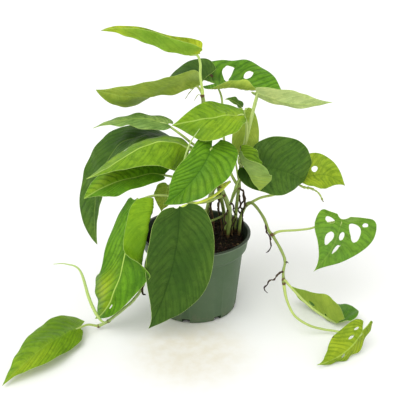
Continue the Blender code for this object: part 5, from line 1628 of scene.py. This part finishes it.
def build_stage(context):
    """A pale floor, white surroundings, one large soft light and the photograph's camera."""
    stage = context.scene.vine_stage
    share = np.linspace(-0.5, 0.5, FLOOR_LINES)
    x, y = stage.floor_size * np.array(np.meshgrid(share, share, indexing="ij"))
    quads, _ = grid_faces(np.arange(x.size).reshape(x.shape))
    mesh = bpy.data.meshes.new("floor")
    points = np.stack((x, y, 0.0 * x), -1).reshape(-1, 3)
    mesh.from_pydata(points.tolist(), [], quads[:, ::-1].tolist())
    mesh.materials.append(paint_floor(stage))
    floor = bpy.data.objects.new("floor", mesh)
    context.scene.collection.objects.link(floor)

    world = bpy.data.worlds.new("White surroundings")
    world.use_nodes = True
    sky = world.node_tree.nodes["Background"]
    sky.inputs["Color"].default_value = (1.0, 1.0, 1.0, 1.0)
    sky.inputs["Strength"].default_value = stage.sky
    context.scene.world = world

    lamp = bpy.data.lights.new("key", "SUN")
    lamp.energy = stage.key
    lamp.angle = stage.key_angle
    key = bpy.data.objects.new("key", lamp)
    tilt, turn = KEY_TILT
    key.rotation_euler = (tilt, 0.0, turn)
    context.scene.collection.objects.link(key)

    lens = bpy.data.cameras.new("camera")
    lens.sensor_width = SENSOR
    lens.lens = SENSOR * FOCAL_PIXELS / PICTURE_SIDE
    lens.clip_start = NEAREST_SEEN
    camera = bpy.data.objects.new("camera", lens)
    camera.location = CAMERA_PLACE
    camera.rotation_euler = (math.pi / 2 - CAMERA_PITCH, 0.0, -CAMERA_YAW)
    context.scene.collection.objects.link(camera)
    context.scene.camera = camera
    context.scene.view_settings.view_transform = "Standard"


# Add-on

def colour(name, text, red, green, blue):
    """Colour property whose default is a display colour from 0 to 255."""
    share = np.array((red, green, blue)) / 255.0
    linear = np.where(share <= 0.04045, share / 12.92, ((share + 0.055) / 1.055) ** 2.4)
    return FloatVectorProperty(name=name, description=text, subtype="COLOR", size=3, min=0.0,
                               max=1.0, default=tuple(float(value) for value in linear))


POT_LOW, POT_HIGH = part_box("pot")


class PotSettings(bpy.types.PropertyGroup):
    height: FloatProperty(name="Height", description="Height of the pot", unit="LENGTH",
                          default=POT_HIGH[2])
    rim_radius: FloatProperty(name="Rim radius", description="Outer radius of the lip",
                              unit="LENGTH", default=0.054)
    base_radius: FloatProperty(name="Base radius", description="Outer radius at the floor",
                               unit="LENGTH", default=0.040)
    wall: FloatProperty(name="Wall", description="Thickness of the wall", unit="LENGTH",
                        default=0.0013)
    colour: colour("Colour", "Plastic of the pot", 77, 100, 70)
    # Colour of the lighter band laid round the lip by height
    lip_colour: colour("Lip colour", "Scuffed plastic on the lip", 150, 168, 140)


class SoilSettings(bpy.types.PropertyGroup):
    chips: IntProperty(name="Chips", description="How many bark chips lie on the soil", default=420,
                       min=0)
    chip_size: FloatProperty(name="Chip size", description="Usual length of a chip", unit="LENGTH",
                             default=0.0042)
    colour: colour("Colour", "Damp potting mix", 26, 21, 16)
    bark_colour: colour("Bark colour", "Bark chips", 80, 56, 42)


class LeafSettings(bpy.types.PropertyGroup):
    thickness: FloatProperty(name="Thickness", description="Thickness of a blade", unit="LENGTH",
                             default=0.0006)
    relief: FloatProperty(name="Relief", description="Scale of the swellings between veins",
                          default=1.0, min=0.0)
    roughness: FloatProperty(name="Roughness", description="Roughness of the top side",
                             subtype="FACTOR", default=0.42, min=0.0, max=1.0)
    specular: FloatProperty(name="Specular", description="Strength of the top side's reflection",
                            subtype="FACTOR", default=0.12, min=0.0, max=1.0)
    # Strength of the painted shade along the veins and beside the midrib
    shading: FloatProperty(name="Vein shading", description="Dark band along the veins",
                           subtype="FACTOR", default=0.5, min=0.0, max=1.0)


class ColourSettings(bpy.types.PropertyGroup):
    dark: colour("Dark", "Oldest leaves", 72, 108, 34)
    mid: colour("Mid", "Grown leaves", 91, 143, 26)
    fresh: colour("Fresh", "Half-grown leaves", 110, 153, 28)
    bright: colour("Bright", "Young leaves", 112, 153, 28)
    tender: colour("Tender", "Rolled young leaf", 135, 177, 56)
    lime: colour("Lime", "Newest leaves", 136, 165, 36)
    olive: colour("Olive", "Undersides", 150, 177, 70)
    sage: colour("Sage", "Grey-green undersides", 125, 160, 84)
    pale: colour("Pale", "Palest skin", 172, 196, 124)
    sheath: colour("Sheath", "Sheaths and rolled leaves", 186, 212, 104)
    yellow: colour("Yellow", "Yellowing parts of leaves", 190, 204, 40)
    rib: colour("Rib", "Midribs", 176, 204, 96)
    rim: colour("Rim", "Margins of the blades", 160, 186, 96)
    stem: colour("Stem", "Stems", 132, 152, 74)
    stalk: colour("Stalk", "Leaf stalks", 168, 188, 96)
    root: colour("Root", "Aerial roots", 62, 48, 36)
    brown: colour("Brown", "Old skin and dry edges", 96, 72, 42)


class StageSettings(bpy.types.PropertyGroup):
    floor_size: FloatProperty(name="Floor size", description="Side of the floor", unit="LENGTH",
                              default=14.0)
    floor_colour: colour("Floor colour", "Floor", 246, 246, 244)
    # Colour of the warm painted shadow on the floor in front of the pot
    stain: colour("Stain", "Worn patch in front of the pot", 232, 226, 210)
    sky: FloatProperty(name="Surroundings", description="Brightness of the surroundings",
                       default=0.86, min=0.0)
    key: FloatProperty(name="Key light", default=1.55,
                       description="Strength of the soft light from the upper left")
    key_angle: FloatProperty(name="Key angle", subtype="ANGLE", default=math.radians(50.0),
                             description="Width of the soft light as seen from the pot")


class VINE_OT_pot(bpy.types.Operator):
    """Build the nursery pot"""
    bl_idname = "vine.pot"
    bl_label = "Pot"

    def execute(self, context):
        build_pot(context)
        return {"FINISHED"}


class VINE_OT_soil(bpy.types.Operator):
    """Build the soil with its bark chips"""
    bl_idname = "vine.soil"
    bl_label = "Soil"

    def execute(self, context):
        build_soil(context)
        return {"FINISHED"}


class VINE_OT_stems(bpy.types.Operator):
    """Build the stems, vines and aerial roots"""
    bl_idname = "vine.stems"
    bl_label = "Stems"

    def execute(self, context):
        build_stems(context)
        return {"FINISHED"}


class VINE_OT_leaves(bpy.types.Operator):
    """Build the leaves with their stalks"""
    bl_idname = "vine.leaves"
    bl_label = "Leaves"

    def execute(self, context):
        build_leaves(context)
        return {"FINISHED"}


class VINE_OT_spikes(bpy.types.Operator):
    """Build the rolled new leaves"""
    bl_idname = "vine.spikes"
    bl_label = "Rolled leaves"

    def execute(self, context):
        build_spikes(context)
        return {"FINISHED"}


class VINE_OT_stage(bpy.types.Operator):
    """Build the floor, the light and the camera"""
    bl_idname = "vine.stage"
    bl_label = "Stage"

    def execute(self, context):
        build_stage(context)
        return {"FINISHED"}


STEPS = ("pot", "soil", "stems", "leaves", "spikes", "stage")
GROUPS = {"vine_pot": PotSettings, "vine_soil": SoilSettings, "vine_leaves": LeafSettings,
          "vine_colours": ColourSettings, "vine_stage": StageSettings}


class VINE_PT_panel(bpy.types.Panel):
    """Lists the pieces and their settings"""
    bl_idname = "VINE_PT_panel"
    bl_label = "Potted Vine"
    bl_space_type = "VIEW_3D"
    bl_region_type = "UI"
    bl_category = "Vine"

    def draw(self, context):
        for step in STEPS:
            self.layout.operator("vine." + step)
        for name, group in GROUPS.items():
            box = self.layout.box()
            for field in group.__annotations__:
                box.prop(getattr(context.scene, name), field)


CLASSES = (*GROUPS.values(), VINE_OT_pot, VINE_OT_soil, VINE_OT_stems, VINE_OT_leaves,
           VINE_OT_spikes, VINE_OT_stage, VINE_PT_panel)


def register():
    for item in CLASSES:
        bpy.utils.register_class(item)
    for name, group in GROUPS.items():
        setattr(bpy.types.Scene, name, PointerProperty(type=group))


def unregister():
    for name in GROUPS:
        delattr(bpy.types.Scene, name)
    for item in reversed(CLASSES):
        bpy.utils.unregister_class(item)


def main():
    register()
    bpy.ops.vine.pot()
    bpy.ops.vine.soil()
    bpy.ops.vine.stems()
    bpy.ops.vine.leaves()
    bpy.ops.vine.spikes()
    bpy.ops.vine.stage()


if __name__ == "__main__":
    main()
